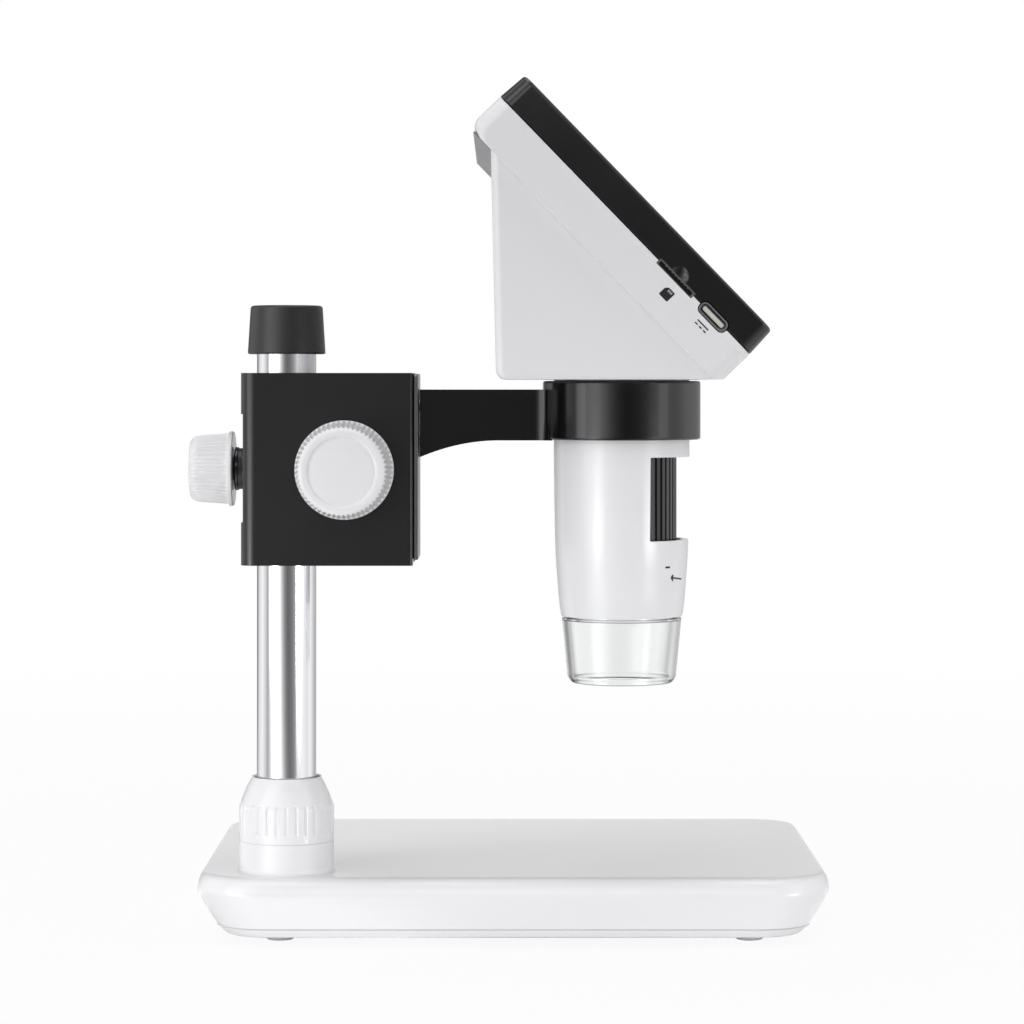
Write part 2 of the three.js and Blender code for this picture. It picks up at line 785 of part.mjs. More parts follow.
function poleBush() {
  const low = housingBottom + bushInset;
  const high = housingTop - bushInset;
  const sleeve = ring(poleRadius + seatGap, bushOuter, low, high);
  const slit = block(0, bushOuter + overrun, -bushSlit / 2, bushSlit / 2, low - overrun, high + overrun);
  return mesh('pole_bush', cut(sleeve, slit), nylon);
}

// Bearing cover that closes the pinion's hole in the far side, made along Z with its rim at height zero.
function gearCover() {
  const half = housingDepth / 2;
  const plugEnd = half - cavityHalf - seatGap;
  const cover = join(
    rod(coverFlange, seatGap, seatGap + coverFlangeHeight, roundFacets),
    rod(cavityRadius - seatGap, -plugEnd, seatGap + coverFlangeHeight / 2, roundFacets),
  );
  const bearing = rod(
    shaftRadius + seatGap, -plugEnd - overrun, coverBearing + seatGap - plugEnd, smallFacets,
  );
  const stood = placed(cut(cover, bearing), { y: half, about: 'X', degrees: -90 });
  const made = mesh('gear_cover', stood, blackPlastic);
  made.position.set(pinionX, 0, pinionZ);
  return made;
}

// A straight-flanked gear outline whose first tooth points along +X.
function gearPlan() {
  const step = (2 * Math.PI) / pinionTeeth;
  const tip = pitchRadius + addendum;
  const root = pitchRadius - dedendum;
  const outline = [];
  for (let i = 0; i < pinionTeeth; i += 1) {
    [[root, -toothRootShare / 2], [tip, -toothTipShare / 2], [tip, toothTipShare / 2],
      [root, toothRootShare / 2]].forEach(([radius, share]) => {
      const angle = (i + share) * step;
      outline.push([radius * Math.cos(angle), radius * Math.sin(angle)]);
    });
  }
  return outline;
}

function rack() {
  const low = carriageBottom + rackInset;
  const high = carriageTop - rackInset;
  const tipX = rackPitchX - addendum;
  const rootX = rackPitchX + dedendum;
  const bar = block(rootX, stemInnerX - seatGap, -rackWidth / 2, rackWidth / 2, low, high);
  const teeth = [];
  // a gap of the rack faces the pinion's tooth that points at it
  const eachWay = Math.floor(Math.min(pinionZ - low, high - pinionZ) / toothPitch);
  for (let k = -eachWay; k < eachWay; k += 1) {
    const middle = pinionZ + (k + 1 / 2) * toothPitch;
    const halfRoot = (toothPitch * toothRootShare) / 2;
    const halfTip = (toothPitch * toothTipShare) / 2;
    teeth.push(sideBar([
      [rootX + seatGap, middle - halfRoot], [rootX + seatGap, middle + halfRoot], [rootX, middle + halfRoot],
      [tipX, middle + halfTip], [tipX, middle - halfTip], [rootX, middle - halfRoot],
    ], -rackWidth / 2, rackWidth / 2));
  }
  return mesh('rack', join(bar, ...teeth), brass);
}

function slideCarriage() {
  const mouth = dovetailMouth - seatGap;
  const root = dovetailRoot - seatGap;
  const stem = prism([
    [stemInnerX, -root], [housingRight, -mouth], [carriageInnerX + seatGap, -mouth],
    [carriageInnerX + seatGap, mouth], [housingRight, mouth], [stemInnerX, root],
  ], carriageBottom, carriageTop);
  const face = roundedPlan(
    carriageBottom, carriageTop, -carriageHalfWidth, carriageHalfWidth, carriageCorner,
  ).map(([z, y]) => [-z, y]);
  const plate = towardRight(prism(face.reverse(), carriageInnerX, carriageOuterX), 0, 0, 0);
  const holes = armScrewHeights.flatMap((z) => [
    [armScrewShank, carriageOuterX + overrun],
    [armScrewHead, stemInnerX + armScrewHeadHeight + seatGap],
  ].map(([radius, end]) => towardRight(
    rod(radius + seatGap, stemInnerX - overrun, end, smallFacets), 0, 0, z,
  )));
  return mesh('slide_carriage', cut(join(stem, plate), ...holes), darkSteel);
}

function armScrews() {
  return armScrewHeights.map((height, i) => {
    const seat = stemInnerX + armScrewHeadHeight + seatGap;
    const length = carriageOuterX + seatGap + armScrewReach - seat;
    const screw = panScrew(
      `arm_screw_${i + 1}`, armScrewShank, length, armScrewHead, armScrewHeadHeight - seatGap,
    );
    screw.rotation.y = Math.PI / 2;
    screw.position.set(seat, 0, height);
    return screw;
  });
}

// Plan outline of the flare between the arm and the collar, from the tube's axis.
function flarePlan() {
  const half = armThickness / 2;
  const reach = collarRadius + armFillet;
  const centre = [-Math.sqrt(reach ** 2 - (half + armFillet) ** 2), half + armFillet];
  const start = -Math.PI / 2;
  const end = Math.atan2(-centre[1], -centre[0]);
  const side = Array.from({ length: cornerFacets + 1 }, (_, i) => {
    const angle = start + ((end - start) * i) / cornerFacets;
    return [centre[0] + armFillet * Math.cos(angle), centre[1] + armFillet * Math.sin(angle)];
  });
  const middle = collarInner + collarWall / 2;
  const inside = [-Math.sqrt(middle ** 2 - side[cornerFacets][1] ** 2), side[cornerFacets][1]];
  const upper = [...side, inside].reverse();
  return [...upper, ...upper.map(([x, y]) => [x, -y]).reverse()];
}

function holderArm() {
  const rootX = carriageOuterX + seatGap;
  const curve = Array.from({ length: armCurveSteps + 1 }, (_, i) => {
    const t = i / armCurveSteps;
    return [rootX + (armCurveEnd - rootX) * t, armBottom - (armBottom - armRootBottom) * (1 - t) ** 2];
  });
  const endX = tubeAxisX - collarInner;
  const bar = sideBar(
    [...curve, [endX, armBottom], [endX, armTop], [rootX, armTop]], -armThickness / 2, armThickness / 2,
  );
  const flare = placed(prism(flarePlan(), armBottom, armTop), { x: tubeAxisX });
  const collar = placed(turned([
    [collarInner, collarBottom], [collarRadius - collarEdge, collarBottom],
    [collarRadius, collarBottom + collarEdge],
    [collarRadius, collarTop - collarEdge], [collarRadius - collarEdge, collarTop], [collarInner, collarTop],
    [collarInner, collarBottom],
  ], wideFacets), { x: tubeAxisX });
  const bore = rod(collarInner, collarBottom - overrun, collarTop + overrun, wideFacets, tubeAxisX);
  const holes = armScrewHeights.map((z) => towardRight(
    rod(armScrewShank + seatGap, rootX - overrun, rootX + armScrewReach + seatGap, smallFacets), 0, 0, z,
  ));
  return mesh('holder_arm', cut(join(cut(join(bar, flare), bore), collar), ...holes), blackPlastic);
}

function collarLiner() {
  const inner = tubeTopRadius + seatGap;
  const liner = mesh('collar_liner', ring(inner, inner + linerWall, collarBottom + linerInset,
    collarTop - linerInset), blackRubber);
  liner.position.x = tubeAxisX;
  return liner;
}

// Focus knob, shaft and pinion, made along Z with the knob's rear face at height zero.
function focusKnob() {
  const shoulder = knobHeight - knobEdge;
  const ribbed = loft([
    [knobSkirt, ribbedCircle(knobRearRadius - knobRibDepth / 2, knobRibDepth, knobRibs)],
    [shoulder, ribbedCircle(knobFrontRadius + knobRibDepth, knobRibDepth, knobRibs)],
  ]);
  const skirt = rod(knobRearRadius, 0, knobSkirt, wideFacets);
  const front = turned([
    [0, shoulder], [knobFrontRadius, shoulder],
    [knobFrontRadius - knobEdge * edgeShare, knobHeight - knobEdge * edgeShare],
    [knobFrontRadius - knobEdge, knobHeight], [knobDiscRadius, knobHeight],
    [knobDiscRadius - knobDiscDepth, knobHeight - knobDiscDepth], [0, knobHeight - knobDiscDepth],
  ], wideFacets);
  const hollow = cut(
    turned([
      [0, -overrun], [knobRearRadius - knobWall, -overrun], [knobRearRadius - knobWall, 0],
      [knobFrontRadius - knobWall, knobHollow], [0, knobHollow],
    ], roundFacets),
    rod(knobBossRadius, -overrun, knobHollow + overrun, roundFacets),
  );
  const shaftHole = rod(shaftRadius + seatGap, -overrun, knobShaftReach + seatGap, smallFacets);
  return mesh('focus_knob', cut(join(ribbed, skirt, front), hollow, shaftHole), whitePlastic);
}

function focusShaft() {
  const far = housingDepth / 2 + cavityHalf + seatGap * 2 + coverBearing;
  return mesh('focus_shaft', rod(shaftRadius, -far, knobShaftReach, smallFacets), steel);
}

function pinion() {
  const middle = -housingDepth / 2 - seatGap;
  const low = middle - pinionWidth / 2;
  const gear = cut(
    prism(gearPlan(), low, low + pinionWidth),
    rod(shaftRadius + seatGap, low - overrun, low + pinionWidth + overrun, smallFacets),
  );
  return mesh('pinion', gear, brass);
}

const focusDrive = group(focusKnob(), focusShaft(), pinion());
focusDrive.rotation.x = Math.PI / 2;
focusDrive.position.set(pinionX, -housingDepth / 2 - seatGap, pinionZ);

// Clamp knob and screw, made along Z with the knob's flange face at height zero.
function clampKnob() {
  const height = clampKnobOuter - clampKnobInner;
  const shoulder = height - clampKnobEdge;
  const ribbed = loft([
    [clampKnobFlangeHeight, ribbedCircle(clampKnobRoot, clampKnobRibDepth, clampKnobRibs)],
    [shoulder, ribbedCircle(clampKnobEnd + clampKnobRibDepth, clampKnobRibDepth, clampKnobRibs)],
  ]);
  const flange = rod(clampKnobFlange, 0, clampKnobFlangeHeight, wideFacets);
  const end = turned([
    [0, shoulder], [clampKnobEnd, shoulder],
    [clampKnobEnd - clampKnobEdge * edgeShare, height - clampKnobEdge * edgeShare],
    [clampKnobEnd - clampKnobEdge, height], [0, height],
  ], wideFacets);
  const stubHole = rod(clampScrewRadius + seatGap, -overrun, clampScrewGrip + seatGap, smallFacets);
  return mesh('clamp_knob', cut(join(flange, ribbed, end), stubHole), whitePlastic);
}

function clampScrew() {
  const neckLow = clampSeatX + seatGap - clampKnobInner;
  const neckHigh = -seatGap;
  const neckMiddle = (neckLow + neckHigh) / 2;
  const low = neckMiddle - clampNeckBand / 2;
  const high = neckMiddle + clampNeckBand / 2;
  const waist = clampNeckRadius - clampNeckGroove;
  return mesh('clamp_screw', turned([
    [0, housingBore - clampKnobInner], [clampScrewRadius, housingBore - clampKnobInner],
    [clampScrewRadius, neckLow], [clampNeckRadius, neckLow], [clampNeckRadius, low], [waist, low],
    [waist, high], [clampNeckRadius, high], [clampNeckRadius, neckHigh], [clampScrewRadius, neckHigh],
    [clampScrewRadius, clampScrewGrip], [0, clampScrewGrip],
  ], plainFacets), blackPlastic);
}

const clamp = group(clampKnob(), clampScrew());
clamp.rotation.y = -Math.PI / 2;
clamp.position.set(-clampKnobInner, 0, pinionZ);

const slide = group(slideCarriage(), rack(), ...armScrews(), holderArm(), collarLiner());
const housing = group(rackHousing(), poleBush(), gearCover(), focusDrive, clamp, slide);

// Tube and lens

const tubeTop = headFloor + shellWall + seatGap + tubeFlangeHeight;
const wheelBottom = windowBottom - wheelInset;
const wheelTop = windowTop + wheelInset;
const guideBottom = wheelBottom - seatGap - guideShelf;
const sensorBoardBottom = guideTop + seatGap;

// Inner radius of the tube at a height above the floor.
function tubeInner(z) {
  const above = tubeOutline.findIndex(([height]) => height > z);
  if (above < 0) return tubeTopRadius - tubeWall;
  const [z0, r0] = tubeOutline[Math.max(above - 1, 0)];
  const [z1, r1] = tubeOutline[above];
  return r0 + ((r1 - r0) * (z - z0)) / (z1 - z0) - tubeWall;
}

function tubeShell() {
  const flangeBottom = tubeTop - tubeFlangeHeight;
  const outside = [...tubeOutline, [flangeBottom, tubeTopRadius], [flangeBottom, tubeFlangeRadius],
    [tubeTop, tubeFlangeRadius]].map(([z, r]) => [r, z]);
  const inside = [[tubeTop, tubeTopRadius], ...[...tubeOutline].reverse()].map(([z, r]) => [r - tubeWall, z]);
  const sleeve = turned([...outside, ...inside, outside[0]], wideFacets);
  const reach = tubeFlangeRadius + overrun;
  const fan = [-1, -1 / 2, 0, 1 / 2, 1].map((share) => {
    const angle = THREE.MathUtils.degToRad(windowHalfAngle * share);
    return [reach * Math.cos(angle), reach * Math.sin(angle)];
  });
  return mesh('tube_shell', cut(sleeve, prism([[0, 0], ...fan], windowBottom, windowTop)), whitePlastic);
}

function focusWheel() {
  const plan = ribbedCircle(wheelRadius, wheelRibDepth, wheelRibs);
  const wheel = loft([[wheelBottom, plan], [wheelTop, plan]]);
  const bore = rod(wheelInner, wheelBottom - overrun, wheelTop + overrun);
  return mesh('focus_wheel', cut(wheel, bore), blackPlastic);
}

function lensGuide() {
  const flange = tubeInner(guideBottom) - seatGap;
  return mesh('lens_guide', turned([
    [guideInner, guideBottom], [flange, guideBottom], [flange, guideBottom + guideShelf],
    [guideRadius, guideBottom + guideShelf], [guideRadius, guideTop], [guideInner, guideTop],
    [guideInner, guideBottom],
  ], plainFacets), blackPlastic);
}

function wheelRetainer() {
  const low = wheelTop + seatGap;
  const body = ring(wheelInner, tubeInner(low) - seatGap, low, low + retainerHeight, plainFacets);
  return mesh('wheel_retainer', body, blackPlastic);
}

function lensBarrel() {
  const top = barrelBottom + barrelLength;
  const seat = barrelBottom + objectiveSet;
  const lensTop = seat + objectiveThickness + seatGap * 2;
  const eye = objectiveRadius - objectiveLip;
  const pocket = objectiveRadius + seatGap;
  const wide = barrelRadius - barrelWall;
  return mesh('lens_barrel', turned([
    [eye, barrelBottom], [barrelRadius, barrelBottom], [barrelRadius, top], [wide, top], [wide, lensTop],
    [pocket, lensTop], [pocket, seat], [eye, seat], [eye, barrelBottom],
  ], plainFacets), blackPlastic);
}

function objectiveLens() {
  const low = barrelBottom + objectiveSet + seatGap;
  const crown = objectiveThickness * crownHeightShare;
  const rim = objectiveRadius * crownShare;
  return mesh('objective_lens', turned([
    [0, low - crown / 2], [rim, low], [objectiveRadius, low],
    [objectiveRadius, low + objectiveThickness - crown],
    [rim, low + objectiveThickness - crown / 2], [0, low + objectiveThickness],
  ], plainFacets), clearPlastic);
}

function sensorBoard() {
  const board = rod(sensorBoardRadius, sensorBoardBottom, sensorBoardBottom + boardThickness);
  const low = sensorBoardBottom - sensorHeight;
  const sensor = box(sensorSize, sensorSize, sensorHeight * 2, 0, 0, low + sensorHeight);
  return mesh('sensor_board', join(board, sensor), boardGreen);
}

function lampBoard() {
  const radius = tubeInner(lampBoardZ) - seatGap;
  const board = ring(lampHole, radius, lampBoardZ, lampBoardZ + boardThickness);
  const lamp = box(lampSize, lampSize, lampHeight * 2, lampCircle, 0, lampBoardZ);
  const trim = rod(lampCircle * 2, lampBoardZ + boardThickness / 2, lampBoardZ + lampHeight * 2);
  return mesh('lamp_board', join(board, ...around(cut(lamp, trim), lampCount)), boardWhite);
}

function clearHood() {
  const neckTop = lampBoardZ - seatGap;
  const neckInner = hoodNeckRadius - hoodWall;
  const lowZ = hoodBottom + hoodRound;
  return mesh('clear_hood', turned([
    [hoodMouthInner, hoodBottom], [hoodMouthRadius, hoodBottom],
    [hoodLowRadius - (hoodLowRadius - hoodMouthRadius) * edgeShare, hoodBottom + hoodRound * edgeShare],
    [hoodLowRadius, lowZ], [hoodTopRadius, hoodTop], [hoodNeckRadius, hoodTop], [hoodNeckRadius, neckTop],
    [neckInner, neckTop], [neckInner, hoodTop], [hoodTopRadius - hoodWall, hoodTop - hoodWall],
    [hoodLowRadius - hoodWall, lowZ], [hoodMouthInner, hoodBottom],
  ], wideFacets), clearPlastic);
}

// Head

const slope = THREE.MathUtils.degToRad(headSlope);
const upperX = seamLowX - headLength * Math.cos(slope); // upper end of the seam, from the tube's axis
const upperZ = headFloor + seamLowZ + headLength * Math.sin(slope);
const screenX = (upperX + seamLowX) / 2;
const screenZ = (upperZ + headFloor + seamLowZ) / 2;
const halfLength = headLength / 2;
const halfWidth = headWidth / 2;

// A point on the head's side: `along` the seam from its upper end, `out` from the seam to the screen's side.
const onSlope = (along, out) => [
  upperX + along * Math.cos(slope) + out * Math.sin(slope),
  upperZ - along * Math.sin(slope) + out * Math.cos(slope),
];
// Moves a body from the screen's frame (X down the slope, Z out of the screen) to the head's.
const tilted = (body) => placed(body, { x: screenX, z: screenZ, about: 'Y', degrees: headSlope });

const headPlan = (inset) => roundedPlan(
  inset - halfLength, halfLength - inset, inset - halfWidth, halfWidth - inset,
  Math.max(headCorner - inset, seatGap),
);

// Outer form of the rear shell at inset 0, or its hollow at the wall's inset.
function rearForm(inset) {
  const back = inset - shellDepth;
  const floor = headFloor + inset;
  const seam = inset > 0 ? overrun : 0;
  const far = headLength * 2;
  const lowEnd = headLength - inset;
  const lowOut = (floor - upperZ + lowEnd * Math.sin(slope)) / Math.cos(slope);
  const [lowX] = onSlope(lowEnd, lowOut);

  // the slab behind the screen, rounded at its upper end and cut level at its lower end
  const round = Math.max(shellBackRound - inset, seatGap);
  const slabPlan = (drawn) => roundedPlan(
    inset + drawn - halfLength, halfLength - inset, inset - halfWidth, halfWidth - inset,
    Math.max(headCorner - inset, seatGap), inset > 0 ? 1 : cornerFacets,
  );
  const slab = tilted(loft([
    [back, slabPlan(round)], [back + round * edgeShare, slabPlan(round * edgeShare)],
    [back + round, slabPlan(0)],
    [seam, slabPlan(0)],
  ]));
  const lowRound = Math.max(shellLowRound - inset, seatGap);
  const [turnX, turnZ] = onSlope(lowEnd, lowOut + lowRound);
  const past = [turnX * 2 - lowX + lowRound, turnZ * 2 - floor];
  const ground = sideBar([
    [-far, floor], [-far, floor - far], [past[0], floor - far], past, [lowX - lowRound, floor],
  ], -headWidth, headWidth);

  // the wedge between the slab and the tube, leaning back a little
  const lean = (wedgeBackHigh - wedgeBackLow) / (onSlopeHeight(-wedgeBackHigh) - headFloor);
  const edge = Math.max(wedgeEdgeRound - inset, seatGap);
  const wedgePlan = (z, drawn) => roundedPlan(
    inset + drawn - wedgeBackLow - lean * (z - headFloor), lowX - lowRound,
    inset + drawn / 2 - wedgeHalfWidth, wedgeHalfWidth - inset - drawn / 2, [seatGap, edge, edge, seatGap],
    inset > 0 ? 1 : 2,
  );
  const corner = Math.max(wedgeCornerRound - inset, seatGap);
  const column = loft([
    [floor, wedgePlan(floor, corner)], [floor + corner * edgeShare, wedgePlan(floor, corner * edgeShare)],
    [floor + corner, wedgePlan(floor + corner, 0)], [upperZ, wedgePlan(upperZ, 0)],
  ]);
  const above = sideBar([
    onSlope(-far, back + seatGap), onSlope(far, back + seatGap), onSlope(far, far), onSlope(-far, far),
  ], -headWidth, headWidth);
  return join(cut(slab, ground), cut(column, above));
}

// Height at which the shell's back plane passes a distance from the tube's axis.
function onSlopeHeight(x) {
  const along = (x - upperX + shellDepth * Math.sin(slope)) / Math.cos(slope);
  return onSlope(along, -shellDepth)[1];
}

const keyRow = Array.from({ length: keyCount }, (_, i) => (i - (keyCount - 1) / 2) * keyPitch);
const caseScrewPlaces = [-1, 1].flatMap((side) => [
  [caseScrewInsetEnd - halfLength, side * caseScrewHighSpan],
  [halfLength - caseScrewInsetLow, side * caseScrewLowSpan],
]);
const cardCentre = (cardSlotStart + cardSlotEnd) / 2 - halfLength;
const powerCentre = powerSlotCentre - halfLength;

// Openings in the near side, in the screen's frame.
function sideOpenings() {
  const card = box(
    cardSlotEnd - cardSlotStart, bezelWall * 2 + overrun * 2, cardSlotHeight, cardCentre, -halfWidth, 0,
  );
  const plan = roundedPlan(
    -powerSlotWidth / 2, powerSlotWidth / 2, -powerSlotHeight / 2, powerSlotHeight / 2,
    powerSlotHeight / 2 - seatGap / 2,
  );
  const power = placed(
    prism(plan, halfWidth - bezelWall - overrun, halfWidth + overrun),
    { x: powerCentre, about: 'X', degrees: 90 },
  );
  const notch = placed(
    rod(nailNotchRadius, halfWidth - nailNotchDepth, halfWidth + overrun, smallFacets),
    { x: cardCentre + nailNotchRadius, z: cardSlotHeight / 2, about: 'X', degrees: 90 },
  );
  return [card, power, notch];
}

function rearShell() {
  const bosses = caseScrewPlaces.map(([x, y]) => rod(caseBossRadius, -halfLength, 0, smallFacets, x, y));
  const form = rearForm(0);
  const walls = cut(form, rearForm(shellWall));
  const inner = bosses.map((boss) => form.intersect(tilted(boss)));
  const tunnels = caseScrewPlaces.flatMap(([x, y]) => [
    rod(caseScrewHead + seatGap, -halfLength, -caseScrewSeat, smallFacets, x, y),
    rod(caseScrewShank + seatGap, -halfLength, overrun, smallFacets, x, y),
  ]);
  const tubeHole = rod(
    tubeTopRadius + seatGap, headFloor - overrun, headFloor + shellWall + overrun, wideFacets,
  );
  const [card, power, notch] = sideOpenings();
  const openings = [card, power].map(tilted);
  notch.delete();
  return mesh('rear_shell', cut(
    join(walls, ...inner), ...tunnels.map(tilted), tubeHole, ...openings,
  ), whitePlastic);
}

function frontBezel() {
  const body = loft([
    [seatGap, headPlan(0)], [bezelDepth - bezelEdge, headPlan(bezelDraft)],
    [bezelDepth - bezelEdge * edgeShare, headPlan(bezelDraft + bezelEdge * edgeShare)],
    [bezelDepth, headPlan(bezelDraft + bezelEdge)],
  ]);
  const faceBack = bezelDepth - bezelFace;
  const hollow = cut(
    prism(headPlan(bezelWall), seatGap - overrun, faceBack),
    ...caseScrewPlaces.map(([x, y]) => rod(
      bezelPostRadius, seatGap - overrun, bezelDepth, smallFacets, x, y,
    )),
  );
  const centred = (length, width, radius, shift, grow = 0) => roundedPlan(
    shift - length / 2 - grow, shift + length / 2 + grow, -width / 2 - grow, width / 2 + grow, radius, 2,
  );
  const seat = prism(
    centred(glassLength, glassWidth, glassCorner, -glassShift, seatGap),
    bezelDepth - glassThickness - seatGap, bezelDepth + overrun,
  );
  const view = prism(
    centred(viewLength, viewWidth, seatGap, -glassShift), faceBack - overrun, bezelDepth + overrun,
  );
  const keyHoles = keyRow.map((y) => prism(roundedPlan(
    keyShift - keyLength / 2 - seatGap, keyShift + keyLength / 2 + seatGap, y - keyWidth / 2 - seatGap,
    y + keyWidth / 2 + seatGap, keyCorner, 2,
  ), faceBack - overrun, bezelDepth + overrun));
  const screwHoles = caseScrewPlaces.map(([x, y]) => rod(
    caseScrewShank + seatGap, 0, caseScrewBite + seatGap * 2, smallFacets, x, y,
  ));
  return mesh('front_bezel', cut(body, hollow, seat, view, ...keyHoles, ...screwHoles, ...sideOpenings()),
    blackPlastic);
}

const faceBack = bezelDepth - bezelFace;
const panelBottom = faceBack - seatGap - panelThickness;
const mainBoardTop = panelBottom - seatGap;
const mainBoardBottom = mainBoardTop - boardThickness;
const keyFlangeBottom = faceBack - seatGap - keyFlangeHeight;

function slabOf(name, length, width, shift, z0, z1, corner, material) {
  return mesh(name, prism(
    roundedPlan(shift - length / 2, shift + length / 2, -width / 2, width / 2, corner, 2), z0, z1,
  ), material);
}

function mainBoard() {
  const half = halfWidth - mainBoardInsetSide;
  const board = block(
    mainBoardInsetHigh - halfLength, halfLength - mainBoardInsetLow, -half, half, mainBoardBottom, mainBoardTop,
  );
  const switchTop = keyFlangeBottom - keyTravel - seatGap;
  const switches = keyRow.map((y) => block(
    keyShift - switchSize / 2, keyShift + switchSize / 2, y - switchSize / 2, y + switchSize / 2,
    mainBoardTop - boardThickness / 2, switchTop,
  ));
  const posts = caseScrewPlaces.map(([x, y]) => rod(
    bezelPostRadius + seatGap, mainBoardBottom - overrun, mainBoardTop + overrun, smallFacets, x, y,
  ));
  return mesh('main_board', cut(join(board, ...switches), ...posts), boardGreen);
}

function keys() {
  return keyRow.map((y, i) => {
    const cap = prism(roundedPlan(-keyLength / 2, keyLength / 2, -keyWidth / 2, keyWidth / 2, keyCorner, 2),
      keyFlangeBottom, bezelDepth + keyProud);
    const flange = box(
      keyLength + keyFlange * 2, keyWidth + keyFlange * 2, keyFlangeHeight, 0, 0,
      keyFlangeBottom + keyFlangeHeight / 2,
    );
    const key = mesh(`key_${i + 1}`, join(cap, flange), whitePlastic);
    key.position.set(keyShift, y, 0);
    return key;
  });
}

// The near-side sockets are made along Z from their mouths and then laid along Y.
function sideSocket(name, body, x, mouth, material) {
  return mesh(name, placed(body, { x, y: -mouth, about: 'X', degrees: -90 }), material);
}

function cardSocket() {
  const half = (cardSlotEnd - cardSlotStart) / 2;
  const shell = block(-half, half, -mainBoardBottom + seatGap, cardSlotHeight / 2, 0, cardSocketDepth);
  const mouth = box(cardMouthWidth, cardMouthHeight, cardMouthDepth * 2);
  return sideSocket('card_socket', cut(shell, mouth), cardCentre, halfWidth - bezelWall - seatGap, foil);
}

function powerSocket() {
  const plan = (inset) => {
    const x = powerSlotWidth / 2 - seatGap - inset;
    const z = powerSlotHeight / 2 - seatGap - inset;
    return roundedPlan(-x, x, -z, z, z - seatGap / 2);
  };
  const shell = cut(
    prism(plan(0), 0, powerSocketDepth),
    prism(plan(powerSocketWall), -overrun, powerSocketDepth - powerSocketWall * 2),
  );
  const back = powerSocketDepth - powerSocketWall;
  const tongue = block(-powerTongueWidth / 2, powerTongueWidth / 2, -powerTongue / 2, powerTongue / 2,
    back - powerSocketWall - powerTongueLength, back);
  return sideSocket('power_socket', join(shell, tongue), powerCentre, halfWidth - powerSocketSet, foil);
}

function battery() {
  const floor = headFloor + shellWall + seatGap;
  const back = -wedgeBackLow + shellWall + seatGap;
  return mesh('battery', block(back, back + batteryThickness, -batteryWidth / 2, batteryWidth / 2, floor,
    floor + batteryHeight), foil);
}

function caseScrews() {
  const length = caseScrewSeat + caseScrewBite;
  return caseScrewPlaces.map(([x, y], i) => {
    const screw = panScrew(`case_screw_${i + 1}`, caseScrewShank, length, caseScrewHead, caseScrewHeadHeight);
    screw.position.set(x, y, -caseScrewSeat);
    return screw;
  });
}

const glassLow = bezelDepth - glassThickness;
const screen = group(
  frontBezel(), ...keys(), mainBoard(), cardSocket(), powerSocket(), ...caseScrews(),
  slabOf('screen_glass', glassLength, glassWidth, -glassShift, glassLow, bezelDepth, glassCorner, blackGlass),
  slabOf('lcd_panel', panelLength, panelWidth, -glassShift, panelBottom, faceBack - seatGap, seatGap, foil),
);
screen.rotation.y = slope;
screen.position.set(screenX, 0, screenZ);

const head = group(
  rearShell(), screen, battery(), tubeShell(), focusWheel(), wheelRetainer(), lensGuide(), lensBarrel(),
  objectiveLens(), sensorBoard(), lampBoard(), clearHood(),
);
head.position.x = tubeAxisX;

// The whole, centred on its footprint with the feet at height zero.
const microscope = group(stand, housing, head);
microscope.position.set(
  (clampKnobOuter - (baseLength - baseLeft)) / 2, (halfWidth - (baseDepth - baseFront)) / 2, 0,
);
microscope.name = 'lcd_digital_microscope';

export default microscope;
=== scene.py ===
"""Looks of an LCD digital microscope on a stand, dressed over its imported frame. Lengths in the code are
millimetres in the frame of the pole's axis, unless a name says otherwise, and become metres in one place."""

import math
from types import SimpleNamespace

import bmesh
import bpy
from bpy.props import FloatProperty, FloatVectorProperty, IntProperty, PointerProperty
from mathutils import Matrix, Vector


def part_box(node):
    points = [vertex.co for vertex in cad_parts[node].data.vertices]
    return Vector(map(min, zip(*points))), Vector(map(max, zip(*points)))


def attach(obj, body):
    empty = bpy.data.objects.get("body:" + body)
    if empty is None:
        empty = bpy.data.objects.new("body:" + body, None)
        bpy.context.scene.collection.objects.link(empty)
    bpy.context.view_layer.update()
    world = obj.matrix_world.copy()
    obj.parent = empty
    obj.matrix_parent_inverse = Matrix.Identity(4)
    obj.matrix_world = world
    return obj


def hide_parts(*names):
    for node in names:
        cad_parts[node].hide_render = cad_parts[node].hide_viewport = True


bl_info = {
    "name": "LCD Digital Microscope",
    "version": (1, 0, 0),
    "blender": (4, 5, 0),
    "location": "View3D > Sidebar > Microscope",
    "description": "Builds the finished surfaces of an LCD digital microscope around its frame",
    "category": "Add Mesh",
}

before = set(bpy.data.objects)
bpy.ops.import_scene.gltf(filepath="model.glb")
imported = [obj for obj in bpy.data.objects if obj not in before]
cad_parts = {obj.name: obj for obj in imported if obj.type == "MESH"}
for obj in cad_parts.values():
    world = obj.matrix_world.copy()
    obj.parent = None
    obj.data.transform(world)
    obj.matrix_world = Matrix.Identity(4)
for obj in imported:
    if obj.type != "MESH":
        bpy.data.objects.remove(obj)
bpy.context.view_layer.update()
bpy.context.scene.view_settings.view_transform = "Standard"

MM = 0.001
TURN = 2 * math.pi


def box_mm(node):
    """Lowest and highest corner of a node of the frame, in millimetres."""
    low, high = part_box(node)
    return low / MM, high / MM


POLE_LOW, POLE_HIGH = box_mm("pole")
POLE_X = (POLE_LOW.x + POLE_HIGH.x) / 2
POLE_Y = (POLE_LOW.y + POLE_HIGH.y) / 2
POLE_RADIUS = (POLE_HIGH.x - POLE_LOW.x) / 2
POLE_FRAME = Matrix.Translation((POLE_X, POLE_Y, 0))


def local_box(name):
    """The box of a frame node from the pole's axis, in millimetres."""
    low, high = box_mm(name)
    move = Vector((POLE_X, POLE_Y, 0))
    return low - move, high - move


